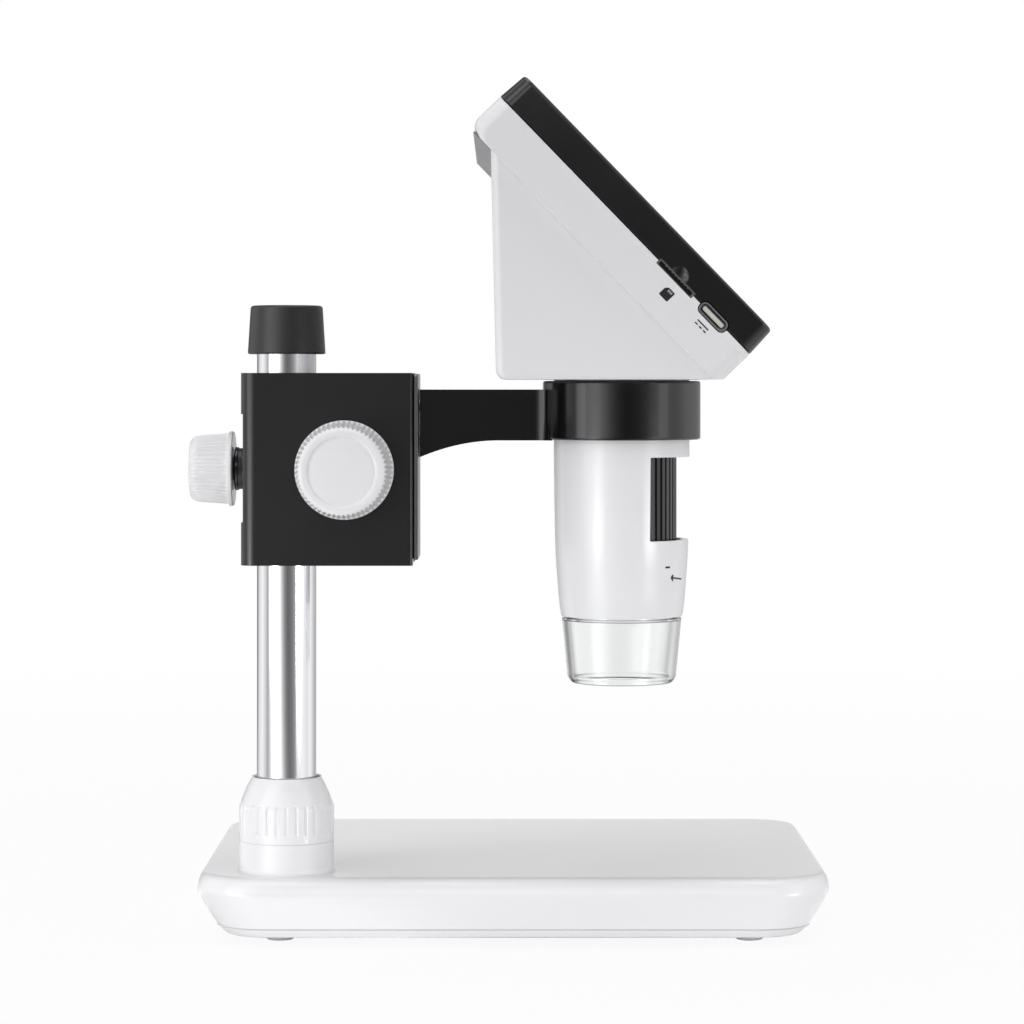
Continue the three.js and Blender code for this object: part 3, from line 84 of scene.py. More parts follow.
HOOD_LOW, HOOD_HIGH = local_box("clear_hood")
TUBE_X = (HOOD_LOW.x + HOOD_HIGH.x) / 2

FEET = ["foot_front_left", "foot_rear_left", "foot_front_right", "foot_rear_right"]
BASE_SCREWS = [f"base_screw_{i + 1}" for i in range(4)]
ARM_SCREWS = ["arm_screw_1", "arm_screw_2"]
ARM_SCREW_HEAD = 1.3  # height of their heads
WINDOW_HALF = 67  # degrees that the tube's window spans either side of +X
HOOD_TOP = 86.0  # floor to the hood's upper edge

# The head's seam, from the tube's axis, and places on the screen in its own frame, X down the slope
SLOPE = math.radians(45.9)
HEAD_LENGTH = 90.3
SEAM_LOW = (30.1, 155.9)
SCREEN_X = SEAM_LOW[0] - HEAD_LENGTH / 2 * math.cos(SLOPE)
SCREEN_Z = SEAM_LOW[1] + HEAD_LENGTH / 2 * math.sin(SLOPE)
GLASS_X = -9.0
KEY_X = 34.5
KEY_ROW = [15 * (i - 2.5) for i in range(6)]
CARD_X, POWER_X = 18.45, 31.95
CARD_MARK, POWER_MARK = (19.65, -4.35), (31.55, -3.75)
CASE_SCREWS = [(-39.55, -55.2), (37.75, -47), (-39.55, 55.2), (37.75, 47)]
CASE_SCREW_SEAT = -3.6  # of their heads, behind the seam
CASE_WALL = 2
TUBE_MARK_RADIUS = 17.6

OVER = 1  # how far a cutting tool runs past the face that it cuts
FAR = 200  # half length of a cutting tool that runs past the whole head
WELD = 1e-4  # points closer than this are one
LEAST_ROUND = 0.3  # the smallest radius of the head's corners
STRAIGHT = 3.1  # an angle, in radians, at which an outline runs on without a corner
CLOUD_MM = 22  # size of the slow changes of tone on a moulding
INK_MM = 0.06  # an ink film, drawn thicker than the real one so that it shows
MATERIALS = {}


# Colour and materials


def linear(hex_value):
    """Linear colour of an sRGB hex value such as "#ecebed"."""
    parts = [int(hex_value[i : i + 2], 16) / 255 for i in (1, 3, 5)]
    return [c / 12.92 if c <= 0.04045 else ((c + 0.055) / 1.055) ** 2.4 for c in parts]


def node(tree, kind, settings=None, links=None):
    """Adds a node of a kind, with its socket values and attributes, and links {input: (node, output)}."""
    made = tree.nodes.new(kind)
    for name, value in (settings or {}).items():
        if isinstance(name, int) or name in made.inputs:
            made.inputs[name].default_value = value
        else:
            setattr(made, name, value)
    for name, (source, output) in (links or {}).items():
        tree.links.new(source.outputs[output], made.inputs[name])
    return made


def new_material(name, base, roughness, **values):
    """A material with one principled shader, and that shader."""
    material = bpy.data.materials.new(name)
    material.use_nodes = True
    shader = material.node_tree.nodes["Principled BSDF"]
    shader.inputs["Base Color"].default_value = (*base, 1)
    shader.inputs["Roughness"].default_value = roughness
    for socket, value in values.items():
        shader.inputs[socket.replace("_", " ")].default_value = value
    return material, shader


def surface_detail(material, shader, grit_mm, depth_mm, tint=0.0, rough_spread=0.0, stretch=(1, 1, 1)):
    """Fine relief of a real grit size, with slight changes of tone and roughness over the surface."""
    tree = material.node_tree
    place = node(tree, "ShaderNodeTexCoord")
    scaled = node(tree, "ShaderNodeMapping", {"Scale": stretch}, {"Vector": (place, "Object")})
    noise, on_surface = "ShaderNodeTexNoise", {"Vector": (scaled, "Vector")}
    grain = node(tree, noise, {"Scale": 1 / (grit_mm * MM), "Detail": 3.0}, on_surface)
    relief = {"Strength": 0.6, "Distance": depth_mm * MM}
    bump = node(tree, "ShaderNodeBump", relief, {"Height": (grain, "Fac")})
    tree.links.new(bump.outputs["Normal"], shader.inputs["Normal"])
    cloud = node(tree, noise, {"Scale": 1 / (CLOUD_MM * MM), "Detail": 2.0}, on_surface)
    if rough_spread:
        base = shader.inputs["Roughness"].default_value
        spread = node(
            tree,
            "ShaderNodeMapRange",
            {"From Min": 0.2, "From Max": 0.8, "To Min": base - rough_spread, "To Max": base + rough_spread},
            {"Value": (cloud, "Fac")},
        )
        tree.links.new(spread.outputs["Result"], shader.inputs["Roughness"])
    if tint:
        colour = shader.inputs["Base Color"].default_value[:]
        darker = [c * (1 - tint) for c in colour[:3]] + [1]
        tones = {"data_type": "RGBA", "A": colour, "B": darker}
        mixed = node(tree, "ShaderNodeMix", tones, {"Factor": (cloud, "Fac")})
        tree.links.new(mixed.outputs["Result"], shader.inputs["Base Color"])


def finish(
    key, name, base, roughness, grit_mm, depth_mm, tint=0.0, rough_spread=0.0, stretch=(1, 1, 1), **values
):
    """Adds a material to the list under a short key, with its relief, and gives its shader."""
    MATERIALS[key], shader = new_material(name, base, roughness, **values)
    surface_detail(MATERIALS[key], shader, grit_mm, depth_mm, tint, rough_spread, stretch)
    return shader


# Mesh tools. An outline is a list of (x, y), and a profile is a list of (radius, height).


def rounded(points, radius, count=6, closed=True):
    """An outline or profile with its corners rounded, by one radius or by one for each corner."""
    most = 0.49  # share of a side that a round may take
    made = []
    for i, corner in enumerate(points):
        r = radius[i] if isinstance(radius, (list, tuple)) else radius
        here = Vector(corner)
        before = Vector(points[i - 1]) - here
        after = Vector(points[(i + 1) % len(points)]) - here
        at_end = not closed and i in (0, len(points) - 1)
        if r <= 0 or at_end or before.length * after.length == 0 or before.angle(after) > STRAIGHT:
            made.append(tuple(here))
            continue
        half = before.angle(after) / 2
        back = min(r / math.tan(half), before.length * most, after.length * most)
        r = back * math.tan(half)
        middle = here + (before.normalized() + after.normalized()).normalized() * (r / math.sin(half))
        first = here + before.normalized() * back - middle
        last = here + after.normalized() * back - middle
        sweep = first.angle(last)
        for k in range(count + 1):
            a, b = math.sin((1 - k / count) * sweep), math.sin(k / count * sweep)
            made.append(tuple(middle + (first * a + last * b) / math.sin(sweep)))
    return made


def plan(x0, x1, y0, y1, radii, count=10):
    """Rectangle whose corner radii run right back, left back, left front, right front."""
    radii = radii if isinstance(radii, (list, tuple)) else [radii] * 4
    outline = []
    corners = [(x1, y1, -1, -1), (x0, y1, 1, -1), (x0, y0, 1, 1), (x1, y0, -1, 1)]
    for turn, (x, y, sx, sy) in enumerate(corners):
        for k in range(count + 1):
            angle = (turn + k / count) * TURN / 4
            r = radii[turn]
            outline.append((x + sx * r + r * math.cos(angle), y + sy * r + r * math.sin(angle)))
    return outline


def rectangle(x0, x1, y0, y1):
    """A rectangle as an outline."""
    return [(x0, y0), (x1, y0), (x1, y1), (x0, y1)]


def circle(radius, count=96, x=0.0, y=0.0):
    """A circle as an outline."""
    angles = [i * TURN / count for i in range(count)]
    return [(x + radius * math.cos(a), y + radius * math.sin(a)) for a in angles]


def quarter(steps, first=0):
    """How far a quarter round has run and climbed at each step, both from 0 to 1."""
    angles = [k / steps * TURN / 4 for k in range(first, steps + 1)]
    return [(math.sin(a), 1 - math.cos(a)) for a in angles]


def mesh_of(points, faces):
    """A closed mesh from points and faces, with doubled points merged and its normals facing out."""
    data = bpy.data.meshes.new("piece")
    shape = bmesh.new()
    corners = [shape.verts.new(p) for p in points]
    for face in faces:
        shape.faces.new([corners[i] for i in face])
    bmesh.ops.remove_doubles(shape, verts=shape.verts[:], dist=WELD)
    bmesh.ops.recalc_face_normals(shape, faces=shape.faces[:])
    shape.to_mesh(data)
    shape.free()
    return data


def loft(levels, ring=False):
    """A mesh through outlines of equally many points, each (height, outline), capped unless it is a ring."""
    count = len(levels[0][1])
    rows = len(levels)
    points = [(x, y, z) for z, outline in levels for x, y in outline]
    faces = []
    for k in range(rows if ring else rows - 1):
        low, high = k * count, (k + 1) % rows * count
        for i in range(count):
            j = (i + 1) % count
            faces.append((low + i, low + j, high + j, high + i))
    if not ring:
        faces += [tuple(range(count)), tuple(range((rows - 1) * count, rows * count))]
    return mesh_of(points, faces)


def turned(profile, count=96, ribs=0, depth=0.0, wave=None):
    """A mesh turned about Z. A profile that starts off the axis closes on itself. With ribs, each profile
    point is (radius, height, share), and the radius dips by that share of the depth between the ribs."""
    levels = []
    for r, z, *share in profile:
        dip = depth * share[0] if share else 0.0
        outline = []
        for i in range(count):
            angle = i * TURN / count
            radius = r - dip * wave(ribs * i / count % 1) if dip else r
            outline.append((radius * math.cos(angle), radius * math.sin(angle)))
        levels.append((z, outline))
    on_axis = profile[0][0] == 0 and profile[-1][0] == 0
    return loft(levels, ring=not on_axis)


def prism(outline, z0, z1):
    """An upright bar over an outline."""
    return loft([(z0, outline), (z1, outline)])


def bar_y(outline, y0, y1):
    """A bar along Y over a side outline of (x, z)."""
    return moved(prism(outline, -y1, -y0), Matrix.Rotation(TURN / 4, 4, "X"))


def moved(data, *matrices):
    """The mesh after the matrices, of which the last acts first."""
    whole = Matrix()
    for matrix in matrices:
        whole = whole @ matrix
    data.transform(whole)
    return data


def shift(x=0.0, y=0.0, z=0.0):
    """A move in millimetres."""
    return Matrix.Translation((x, y, z))


def facing(x, y, z, direction):
    """Places a shape made along Z so that its +Z points along -Y, +Y, -X or +X, at a point of the frame."""
    turn = {
        "front": Matrix.Rotation(TURN / 4, 4, "X"),
        "back": Matrix.Rotation(-TURN / 4, 4, "X"),
        "left": Matrix.Rotation(-TURN / 4, 4, "Y"),
        "right": Matrix.Rotation(TURN / 4, 4, "Y"),
    }[direction]
    return shift(x, y, z) @ turn


def bar_x(outline, x0, x1):
    """A bar along X over an end outline of (z, y)."""
    return moved(prism([(-z, y) for z, y in reversed(outline)], x0, x1), facing(0, 0, 0, "right"))


def worked(data, *steps):
    """The mesh after modifiers, each given as a kind and its settings. A tool mesh becomes an object."""
    blank = bpy.data.objects.new("blank", data)
    bpy.context.scene.collection.objects.link(blank)
    helpers = []
    for kind, settings in steps:
        modifier = blank.modifiers.new(kind, kind)
        for name, value in settings.items():
            if isinstance(value, bpy.types.Mesh):
                value = bpy.data.objects.new("tool", value)
                bpy.context.scene.collection.objects.link(value)
                helpers.append(value)
            setattr(modifier, name, value)
    bpy.context.view_layer.update()
    made = bpy.data.meshes.new_from_object(blank.evaluated_get(bpy.context.evaluated_depsgraph_get()))
    numbers = [face.material_index for face in made.polygons]
    made.materials.clear()
    made.polygons.foreach_set("material_index", numbers)
    for helper in [blank, *helpers]:
        spent = helper.data
        bpy.data.objects.remove(helper)
        bpy.data.meshes.remove(spent)
    return made


def cut(data, *tools, operation="DIFFERENCE"):
    """The mesh with tool meshes cut away, or joined on."""
    way = {"operation": operation, "solver": "MANIFOLD"}
    return worked(data, *[("BOOLEAN", {**way, "object": tool}) for tool in tools])


def eased(data, width, degrees=40, segments=2):
    """The mesh with its sharp edges broken by a small round, as a mould or a file leaves them."""
    edges = {"limit_method": "ANGLE", "angle_limit": math.radians(degrees), "use_clamp_overlap": True}
    return worked(data, ("BEVEL", {"width": width, "segments": segments, **edges}))


def together(*parts):
    """One mesh of several, with the material number of each part: (mesh, number) or a mesh alone."""
    shape = bmesh.new()
    for part in parts:
        data, number = part if isinstance(part, tuple) else (part, 0)
        start = len(shape.faces)
        shape.from_mesh(data)
        shape.faces.ensure_lookup_table()
        for face in shape.faces[start:]:
            face.material_index = number
        bpy.data.meshes.remove(data)
    data = bpy.data.meshes.new("piece")
    shape.to_mesh(data)
    shape.free()
    return data


def piece(name, data, body, materials, place=POLE_FRAME, stands_for=(), smooth=35):
    """A finished piece, moved into the frame, that rides on a body and may stand for CAD nodes."""
    data.transform(Matrix.Scale(MM, 4) @ place)
    data.polygons.foreach_set("use_smooth", [True] * len(data.polygons))
    data.set_sharp_from_angle(angle=math.radians(smooth))
    data = worked(data, ("WEIGHTED_NORMAL", {"mode": "FACE_AREA", "keep_sharp": True}))
    data.name = name
    for material in materials if isinstance(materials, list) else [materials]:
        data.materials.append(MATERIALS[material])
    made = bpy.data.objects.new(name, data)
    bpy.context.scene.collection.objects.link(made)
    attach(made, body)
    if stands_for:
        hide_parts(*stands_for)
    return made


def groove(share):
    """Depth of a moulded groove across one rib's pitch: a flat crest, then a round-bottomed groove."""
    crest, roundness = 0.62, 0.6
    return math.sin((share - crest) / (1 - crest) * math.pi) ** roundness if share > crest else 0.0


def ridge(share):
    """Depth between two round-crested ribs across one rib's pitch."""
    sharpness = 1.6
    return abs(math.cos(share * math.pi)) ** sharpness


def blend(a, b, c, d, t):
    """A value between b and c, at a share t of the way, on the smooth curve that also passes a and d."""
    return 0.5 * (2 * b + (c - a) * t + (2 * a - 5 * b + 4 * c - d) * t**2 + (3 * b - a - 3 * c + d) * t**3)


def smooth_curve(points, count):
    """A smooth line through points, with that many steps between each two."""
    made = []
    for i in range(len(points) - 1):
        near = [points[max(i - 1, 0)], points[i], points[i + 1], points[min(i + 2, len(points) - 1)]]
        for k in range(count):
            made.append(tuple(blend(*four, k / count) for four in zip(*near)))
    return [*made, tuple(points[-1])]


# The white tube's outer profile, as (radius, height) measured in the photo
TUBE_OUTLINE = smooth_curve(
    [(16.3, 86.4), (16.9, 90.5), (17.3, 95.9), (17.7, 101.3), (17.92, 106.6), (18.12, 117.4), (18.25, 130.8)],
    6,
)


def tube_radius(z):
    """Outer radius of the white tube at a height."""
    for (r0, z0), (r1, z1) in zip(TUBE_OUTLINE, TUBE_OUTLINE[1:]):
        if z <= z1:
            return r0 + (r1 - r0) * (z - z0) / (z1 - z0)
    return TUBE_OUTLINE[-1][0]


# Sizes and colours that a user may change, shown in the sidebar


def length(name, description, value_mm):
    """A length property whose default is given in millimetres."""
    return FloatProperty(
        name=name, description=description, default=value_mm * MM, min=0.0, unit="LENGTH", precision=5
    )


def colour(name, description, hex_value):
    """A colour property whose default is given as an sRGB hex value."""
    return FloatVectorProperty(
        name=name, description=description, default=linear(hex_value), subtype="COLOR", min=0.0, max=1.0
    )


def number(name, description, value):
    """A plain number, such as a focal length, a shift of the picture or a share of white."""
    return FloatProperty(name=name, description=description, default=value, precision=4)


def power(name, description, watts):
    """The power of a lamp."""
    return FloatProperty(name=name, description=description, default=watts, unit="POWER", precision=3)


def count_of(name, description, value):
    """A whole number of ribs, grooves or the like."""
    return IntProperty(name=name, description=description, default=value, min=1)


def settings_of(group):
    """The names of a property group's own values."""
    return [key for key in group.bl_rna.properties.keys() if key not in ("rna_type", "name")]


def in_mm(group):
    """The values of a property group, its lengths in millimetres."""
    values = {key: getattr(group, key) for key in settings_of(group)}
    return SimpleNamespace(**{key: v / MM if isinstance(v, float) else v for key, v in values.items()})


class MICROSCOPE_PG_finishes(bpy.types.PropertyGroup):
    white: colour("White ABS", "Glossy white mouldings: base, tube, head and knobs", "#eeeef0")
    tray: colour("Tray ABS", "Slightly darker moulding under the base", "#e8e8ea")
    paint: colour("Black paint", "Stoved paint on the die-cast rack housing", "#121113")
    black: colour("Black ABS", "Glossy black mouldings: arm and collar", "#060607")
    bezel: colour("Bezel ABS", "Satin black moulding round the screen", "#111113")
    rubber: colour("Black rubber", "Pole cap and collar liner", "#161517")
    foot: colour("Grey rubber", "Feet", "#dadadc")


class MICROSCOPE_PG_stand(bpy.types.PropertyGroup):
    stage_height: length("Stage height", "Floor to the flat top", 18.2)
    tray_top: length("Tray top", "Floor to the tray's upper edge", 4.8)
    rim_height: length("Rim height", "Floor to the base's widest line", 13.3)
    seam_height: length("Seam height", "Floor to the lower edge of the cover", 4.93)
    near_corner: length("Near corners", "Plan radius of the front corners", 17)
    far_corner: length("Far corners", "Plan radius of the back corners", 15)
    top_inset_end: length("Top inset, ends", "Flat top drawn in from the ends", 2.2)
    top_inset_side: length("Top inset, sides", "Flat top drawn in from the front and back", 4.6)
    seam_inset_end: length("Seam inset, ends", "Lower edge drawn in from the ends", 5.4)
    right_trim: length("Right trim", "Right end drawn in", 1.0)
    seam_inset_side: length("Seam inset, sides", "Lower edge drawn in from the front and back", 0.8)
    wall: length("Wall", "Wall of the base cover", 2.2)
    boss_radius: length("Boss radius", "Round boss under the lock nut", 12.75)
    boss_fillet: length("Boss fillet", "Radius where the boss meets the flat top", 1.1)
    boss_top: length("Boss top", "Floor to the top of the boss", 26.2)
    nut_shoulder: length("Nut shoulder", "Floor to where the nut's cone begins", 35.7)
    groove_bottom: length("Groove bottom", "Floor to the lower end of the grip grooves", 28.7)
    nut_mouth: length("Nut mouth", "Radius of the nut's hole round the pole", 8.8)
    nut_groove: length("Nut groove depth", "Depth of the grip grooves", 0.36)
    nut_grooves: count_of("Nut grooves", "Grip grooves round the lock nut", 30)


class MICROSCOPE_PG_slide(bpy.types.PropertyGroup):
    corner: length("Housing corner", "Radius of the housing's upright corners beside the pole", 3.8)
    edge: length("Housing edge", "Round on the housing's other edges", 0.45)
    recess: length("Recess depth", "Shallow recess under the clamp knob", 0.6)
    recess_bottom: length("Recess bottom", "Floor to the lower edge of the recess", 111.8)
    recess_top: length("Recess top", "Floor to the upper edge of the recess", 140.6)
    mouth: length("Dovetail mouth", "Half width of the dovetail at the housing's face", 6.3)
    root: length("Dovetail root", "Half width of the dovetail inside", 9.0)
    dovetail: length("Dovetail depth", "Depth of the dovetail slot", 7.9)
    knob_disc: length("Knob disc", "Radius of the recessed disc in the focus knob", 9.0)
    knob_rib: length("Knob rib depth", "Depth between the focus knob's ribs", 0.55)
    knob_ribs: count_of("Knob ribs", "Ribs round the focus knob", 58)
    clamp_rib: length("Clamp rib depth", "Depth between the clamp knob's ribs", 0.4)
    clamp_ribs: count_of("Clamp ribs", "Ribs round the clamp knob", 50)
    arm_top: length("Arm top", "Floor to the top of the arm", 147.1)
    arm_bottom: length("Arm bottom", "Floor to the arm's under side at the collar", 133.5)
    arm_curve_end: length("Arm curve end", "Pole's axis to where the under side turns level", 57)
    collar_bottom: length("Collar bottom", "Floor to the collar's lower edge", 133.7)
    arm_width: length("Arm width", "Thickness of the holder arm", 12)
    arm_fillet: length("Arm fillet", "Radius where the arm meets its collar", 4)


class MICROSCOPE_PG_tube(bpy.types.PropertyGroup):
    wall: length("Tube wall", "Wall of the white tube", 1.6)
    window_bottom: length("Window bottom", "Floor to the lower edge of the window", 107)
    window_top: length("Window top", "Floor to the upper edge of the window", 129.1)
    wheel_rib: length("Wheel rib depth", "Depth between the focus wheel's ribs", 0.6)
    wheel_ribs: count_of("Wheel ribs", "Ribs round the focus wheel", 48)
    hood_wall: length("Hood wall", "Wall of the clear hood", 1.7)
    lamps: count_of("Lamps", "Light-emitting diodes round the lens", 8)


class MICROSCOPE_PG_head(bpy.types.PropertyGroup):
    slab_length: length("Head length", "Length of the head along its slope", 90.3)
    slab_width: length("Head width", "Width of the head", 120)
    corner: length("Head corner", "Radius of the head's corners", 4)
    bezel_depth: length("Bezel depth", "Depth of the black bezel from the seam", 8.4)
    bezel_edge: length("Bezel edge", "Round on the bezel's front edge", 0.9)
    shell_depth: length("Shell depth", "Depth of the white slab behind the seam", 10.85)
    back_round: length("Back round", "Round along the slab's upper back edge", 3.6)
    low_round: length("Low round", "Round along the head's lower edge", 1.6)
    wedge_back: length("Wedge back", "Tube's axis to the wedge's back face, at the bottom", 33.6)
    wedge_edge: length("Wedge edges", "Round on the wedge's upright edges", 2)
    wedge_corner: length("Wedge corner", "Round along the wedge's lower back edge", 2.5)
    wedge_half: length("Wedge half width", "Half width of the wedge over the tube", 57)
    glass_length: length("Glass length", "Screen glass along the slope", 60)
    glass_width: length("Glass width", "Screen glass across the slope", 100)
    key_length: length("Key length", "Size of a key along the slope", 5)
    key_width: length("Key width", "Size of a key across the slope", 9.5)


class MICROSCOPE_PG_studio(bpy.types.PropertyGroup):
    lens: number("Lens", "Focal length in millimetres on a 36 mm sensor", 116.8)
    shift_x: number("Shift X", "Sideways shift of the frame", 0.0078)
    shift_y: number("Shift Y", "Upward shift of the frame", -0.124)
    camera_x: length("Camera X", "Camera to the right of the pole's axis", 58.4)
    camera_y: FloatProperty(
        name="Camera Y", description="Camera in front of the pole's axis", default=-0.893, unit="LENGTH"
    )
    camera_z: length("Camera height", "Floor to the camera", 148.3)
    ambient: number("Ambient", "Light of the white tent all round", 0.56)
    floor_white: number("Floor white", "How white the sheet looks near the object", 0.92)
    left_power: power("Left softbox", "Light from the left", 1.1)
    right_power: power("Right softbox", "Light from the right", 0.45)
    top_power: power("Top softbox", "Light from above", 2.4)
    front_power: power("Front softbox", "Light beside the camera", 1.25)
    low_power: power("Low softboxes", "Light at bench level in front", 0.042)


# Materials of the object


def plastics(tones):
    """Moulded plastics and the black paint."""
    # ABS from a polished mould: bright soft highlights, a very slight unevenness of the gloss
    finish(
        "abs_white", "abs_white_gloss_moulded", tones.white, 0.22,
        grit_mm=0.9, depth_mm=0.003, rough_spread=0.012, IOR=1.53,
    )
    # the same plastic from a finely eroded mould: matter and a shade darker
    finish(
        "abs_tray", "abs_white_satin_moulded", tones.tray, 0.48,
        grit_mm=0.5, depth_mm=0.006, rough_spread=0.02, IOR=1.53,
    )
    # stoved paint over die-cast zinc: a close fine grain that breaks up the highlights
    finish(
        "paint_black", "paint_black_stoved", tones.paint, 0.3,
        grit_mm=0.45, depth_mm=0.004, tint=0.08, rough_spread=0.03, IOR=1.5,
    )
    # black ABS from a polished mould: deep black with clean reflections
    finish(
        "abs_black", "abs_black_gloss_moulded", tones.black, 0.15,
        grit_mm=1.4, depth_mm=0.003, tint=0.1, rough_spread=0.03, IOR=1.53,
    )
    # black ABS from a finely eroded mould: satin, greyer at a glancing angle
    finish(
        "abs_bezel", "abs_black_satin_moulded", tones.bezel, 0.18,
        grit_mm=0.5, depth_mm=0.004, tint=0.08, rough_spread=0.03, IOR=1.53,
    )
    # grey ABS from the same eroded mould, for the strip behind the head
    # grey satin for the strip behind the head: painted shade where the slab's back face, facing down and away
    # from the lamps, lies in shade
    finish(
        "abs_grey", "painted_shade_grey_satin", linear("#7d7d80"), 0.4,
        grit_mm=0.5, depth_mm=0.01, tint=0.05, rough_spread=0.04, IOR=1.53,
    )
    # polyamide, moulded: milky and dull
    finish(
        "nylon", "nylon_natural_moulded", linear("#dcdad2"), 0.55,
        grit_mm=0.6, depth_mm=0.02, tint=0.04, rough_spread=0.05, IOR=1.53,
    )


def rubbers(tones):
    """Moulded rubbers."""
    # natural rubber, moulded: dull, with a faint bloom in patches
    finish(
        "rubber_black", "rubber_black_moulded", tones.rubber, 0.42,
        grit_mm=0.6, depth_mm=0.014, tint=0.15, rough_spread=0.05, IOR=1.52,
    )
    finish(
        "rubber_foot", "rubber_grey_moulded", tones.foot, 0.7,
        grit_mm=0.6, depth_mm=0.04, tint=0.06, rough_spread=0.06, IOR=1.52,
    )


def metals():
    """Steels, aluminium and brass."""
    # stainless steel tube, drawn and polished: fine lines along the draw, mirror bands across
    finish(
        "steel_polished", "stainless_steel_drawn_polished", linear("#d9d9dc"), 0.13,
        grit_mm=0.35, depth_mm=0.002, rough_spread=0.03, stretch=(1, 1, 0.02), Metallic=1.0,
    )
    # zinc-plated screws: bright and slightly blue, with a rolled unevenness
    finish(
        "steel_zinc", "steel_zinc_plated", linear("#c3c6ca"), 0.3,
        grit_mm=0.4, depth_mm=0.01, tint=0.1, rough_spread=0.08, Metallic=1.0,
    )
    # mild steel plate, sheared and rolled: dark scale in clouds
    finish(
        "steel_plate", "steel_plate_rolled", linear("#6a6a6e"), 0.5,
        grit_mm=1.2, depth_mm=0.03, tint=0.25, rough_spread=0.1, Metallic=1.0,
    )
    # aluminium, extruded and anodised grey: a soft metallic sheen with fine lines along it
    finish(
        "aluminium", "aluminium_extruded_anodised", linear("#77777c"), 0.36,
        grit_mm=0.3, depth_mm=0.006, tint=0.08, rough_spread=0.05, stretch=(1, 1, 0.04), Metallic=1.0,
    )
    # brass, milled: warm, with tool lines
    finish(
        "brass", "brass_milled", linear("#c8a862"), 0.32,
        grit_mm=0.3, depth_mm=0.01, tint=0.1, rough_spread=0.06, Metallic=1.0,
    )


def clear_materials():
    """Acrylic, lens glass and the screen's glass."""
    # acrylic, moulded and polished: water-clear, bright rims where the wall turns away
    finish(
        "acrylic", "acrylic_clear_moulded", linear("#fbfcfc"), 0.03,
        grit_mm=6.0, depth_mm=0.003, IOR=1.49, Transmission_Weight=1.0,
    )
    # the long way through the wall at the hood's sides swallows light, so its edges look grey
    tree = MATERIALS["acrylic"].node_tree
    murk = node(tree, "ShaderNodeVolumeAbsorption", {"Color": (0, 0, 0, 1), "Density": 0.016 / MM})
    tree.links.new(murk.outputs[0], tree.nodes["Material Output"].inputs["Volume"])
    # optical glass, ground and coated: a faint violet reflection
    shader = finish(
        "lens", "glass_optical_coated", linear("#f4f6f8"), 0.02,
        grit_mm=4.0, depth_mm=0.001, IOR=1.52, Transmission_Weight=1.0, Coat_Weight=0.4,
    )
    shader.inputs["Coat Tint"].default_value = (*linear("#b9a2e6"), 1)
    # toughened glass over black ink: almost black, with a sharp reflection on top
    finish(
        "glass_ink", "glass_toughened_ink_backed", linear("#08080a"), 0.06,
        grit_mm=8.0, depth_mm=0.001, tint=0.1, IOR=1.52, Coat_Weight=0.5,
    )
    # the same glass over a display that is off: the polariser gives a deep grey-blue
    finish(
        "glass_display", "glass_toughened_over_polariser", linear("#14161b"), 0.07,
        grit_mm=8.0, depth_mm=0.001, tint=0.15, IOR=1.52, Coat_Weight=0.5,
    )


def small_parts():
    """Circuit boards, lamps, sockets and printing inks."""
    # printed circuit board, glass-fibre laminate under solder mask
    finish(
        "board_green", "laminate_green_solder_mask", linear("#1d5a3a"), 0.4,
        grit_mm=0.5, depth_mm=0.015, tint=0.2, rough_spread=0.05, IOR=1.55,
    )
    finish(
        "board_white", "laminate_white_solder_mask", linear("#e6e7e3"), 0.42,
        grit_mm=0.5, depth_mm=0.01, tint=0.05, rough_spread=0.05, IOR=1.55,
    )
    # silicone with phosphor over each diode: pale yellow, soft
    finish(
        "phosphor", "silicone_phosphor_cast", linear("#e3d36b"), 0.45,
        grit_mm=0.3, depth_mm=0.01, tint=0.1, rough_spread=0.05, IOR=1.43,
    )
    # tinned steel, stamped and folded
    finish(
        "tinplate", "steel_tinned_stamped", linear("#b4b7ba"), 0.28,
        grit_mm=0.5, depth_mm=0.008, tint=0.08, rough_spread=0.08, Metallic=1.0,
    )
    # pad-printing ink: flat black or pale grey, a little proud of the plastic
    finish(
        "ink_black", "ink_black_pad_printed", linear("#080808"), 0.5,
        grit_mm=0.2, depth_mm=0.002, tint=0.15, rough_spread=0.05, IOR=1.5,
    )
    finish(
        "ink_grey", "ink_grey_pad_printed", linear("#5b5b60"), 0.5,
        grit_mm=0.2, depth_mm=0.002, tint=0.1, rough_spread=0.05, IOR=1.5,
    )


# Nodes of the frame that stay as they are, by the material that each has
KEPT_NODES = {
    "steel_plate": ["ballast_plate"],
    "nylon": ["grip_collet", "pole_bush"],
    "brass": ["rack", "pinion"],
    "steel_zinc": ["focus_shaft"],
    "abs_bezel": ["wheel_retainer", "lens_guide"],
    "board_green": ["main_board", "sensor_board"],
    "tinplate": ["lcd_panel", "battery"],
}


def dress_kept_nodes():
    """Gives the nodes that stay as they are their materials."""
    for key, names in KEPT_NODES.items():
        for name in names:
            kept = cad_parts[name]
            if not kept.material_slots:
                kept.data.materials.append(None)
            for slot in kept.material_slots:
                slot.material = MATERIALS[key]


class MICROSCOPE_OT_finishes(bpy.types.Operator):
    """Makes the materials and gives them to the parts of the frame that stay as they are"""

    bl_idname = "microscope.finishes"
    bl_label = "Finishes"

    def execute(self, context):
        tones = context.scene.microscope_finishes
        MATERIALS.clear()
        plastics(tones)
        rubbers(tones)
        metals()
        clear_materials()
        small_parts()
        dress_kept_nodes()
        return {"FINISHED"}


# The stand: base, pole and lock nut


def base_plan(size, inset_end, inset_side):
    """Level outline of the base, drawn in from its ends and from its front and back."""
    low, high = local_box("base_cover")
    shrink, least = (inset_end + inset_side) / 2, 0.5
    near, far = max(size.near_corner - shrink, least), max(size.far_corner - shrink, least)
    x0, x1 = low.x + inset_end, high.x - inset_end - size.right_trim
    return plan(x0, x1, low.y + inset_side, high.y - inset_side, [far, far, near, near], 12)


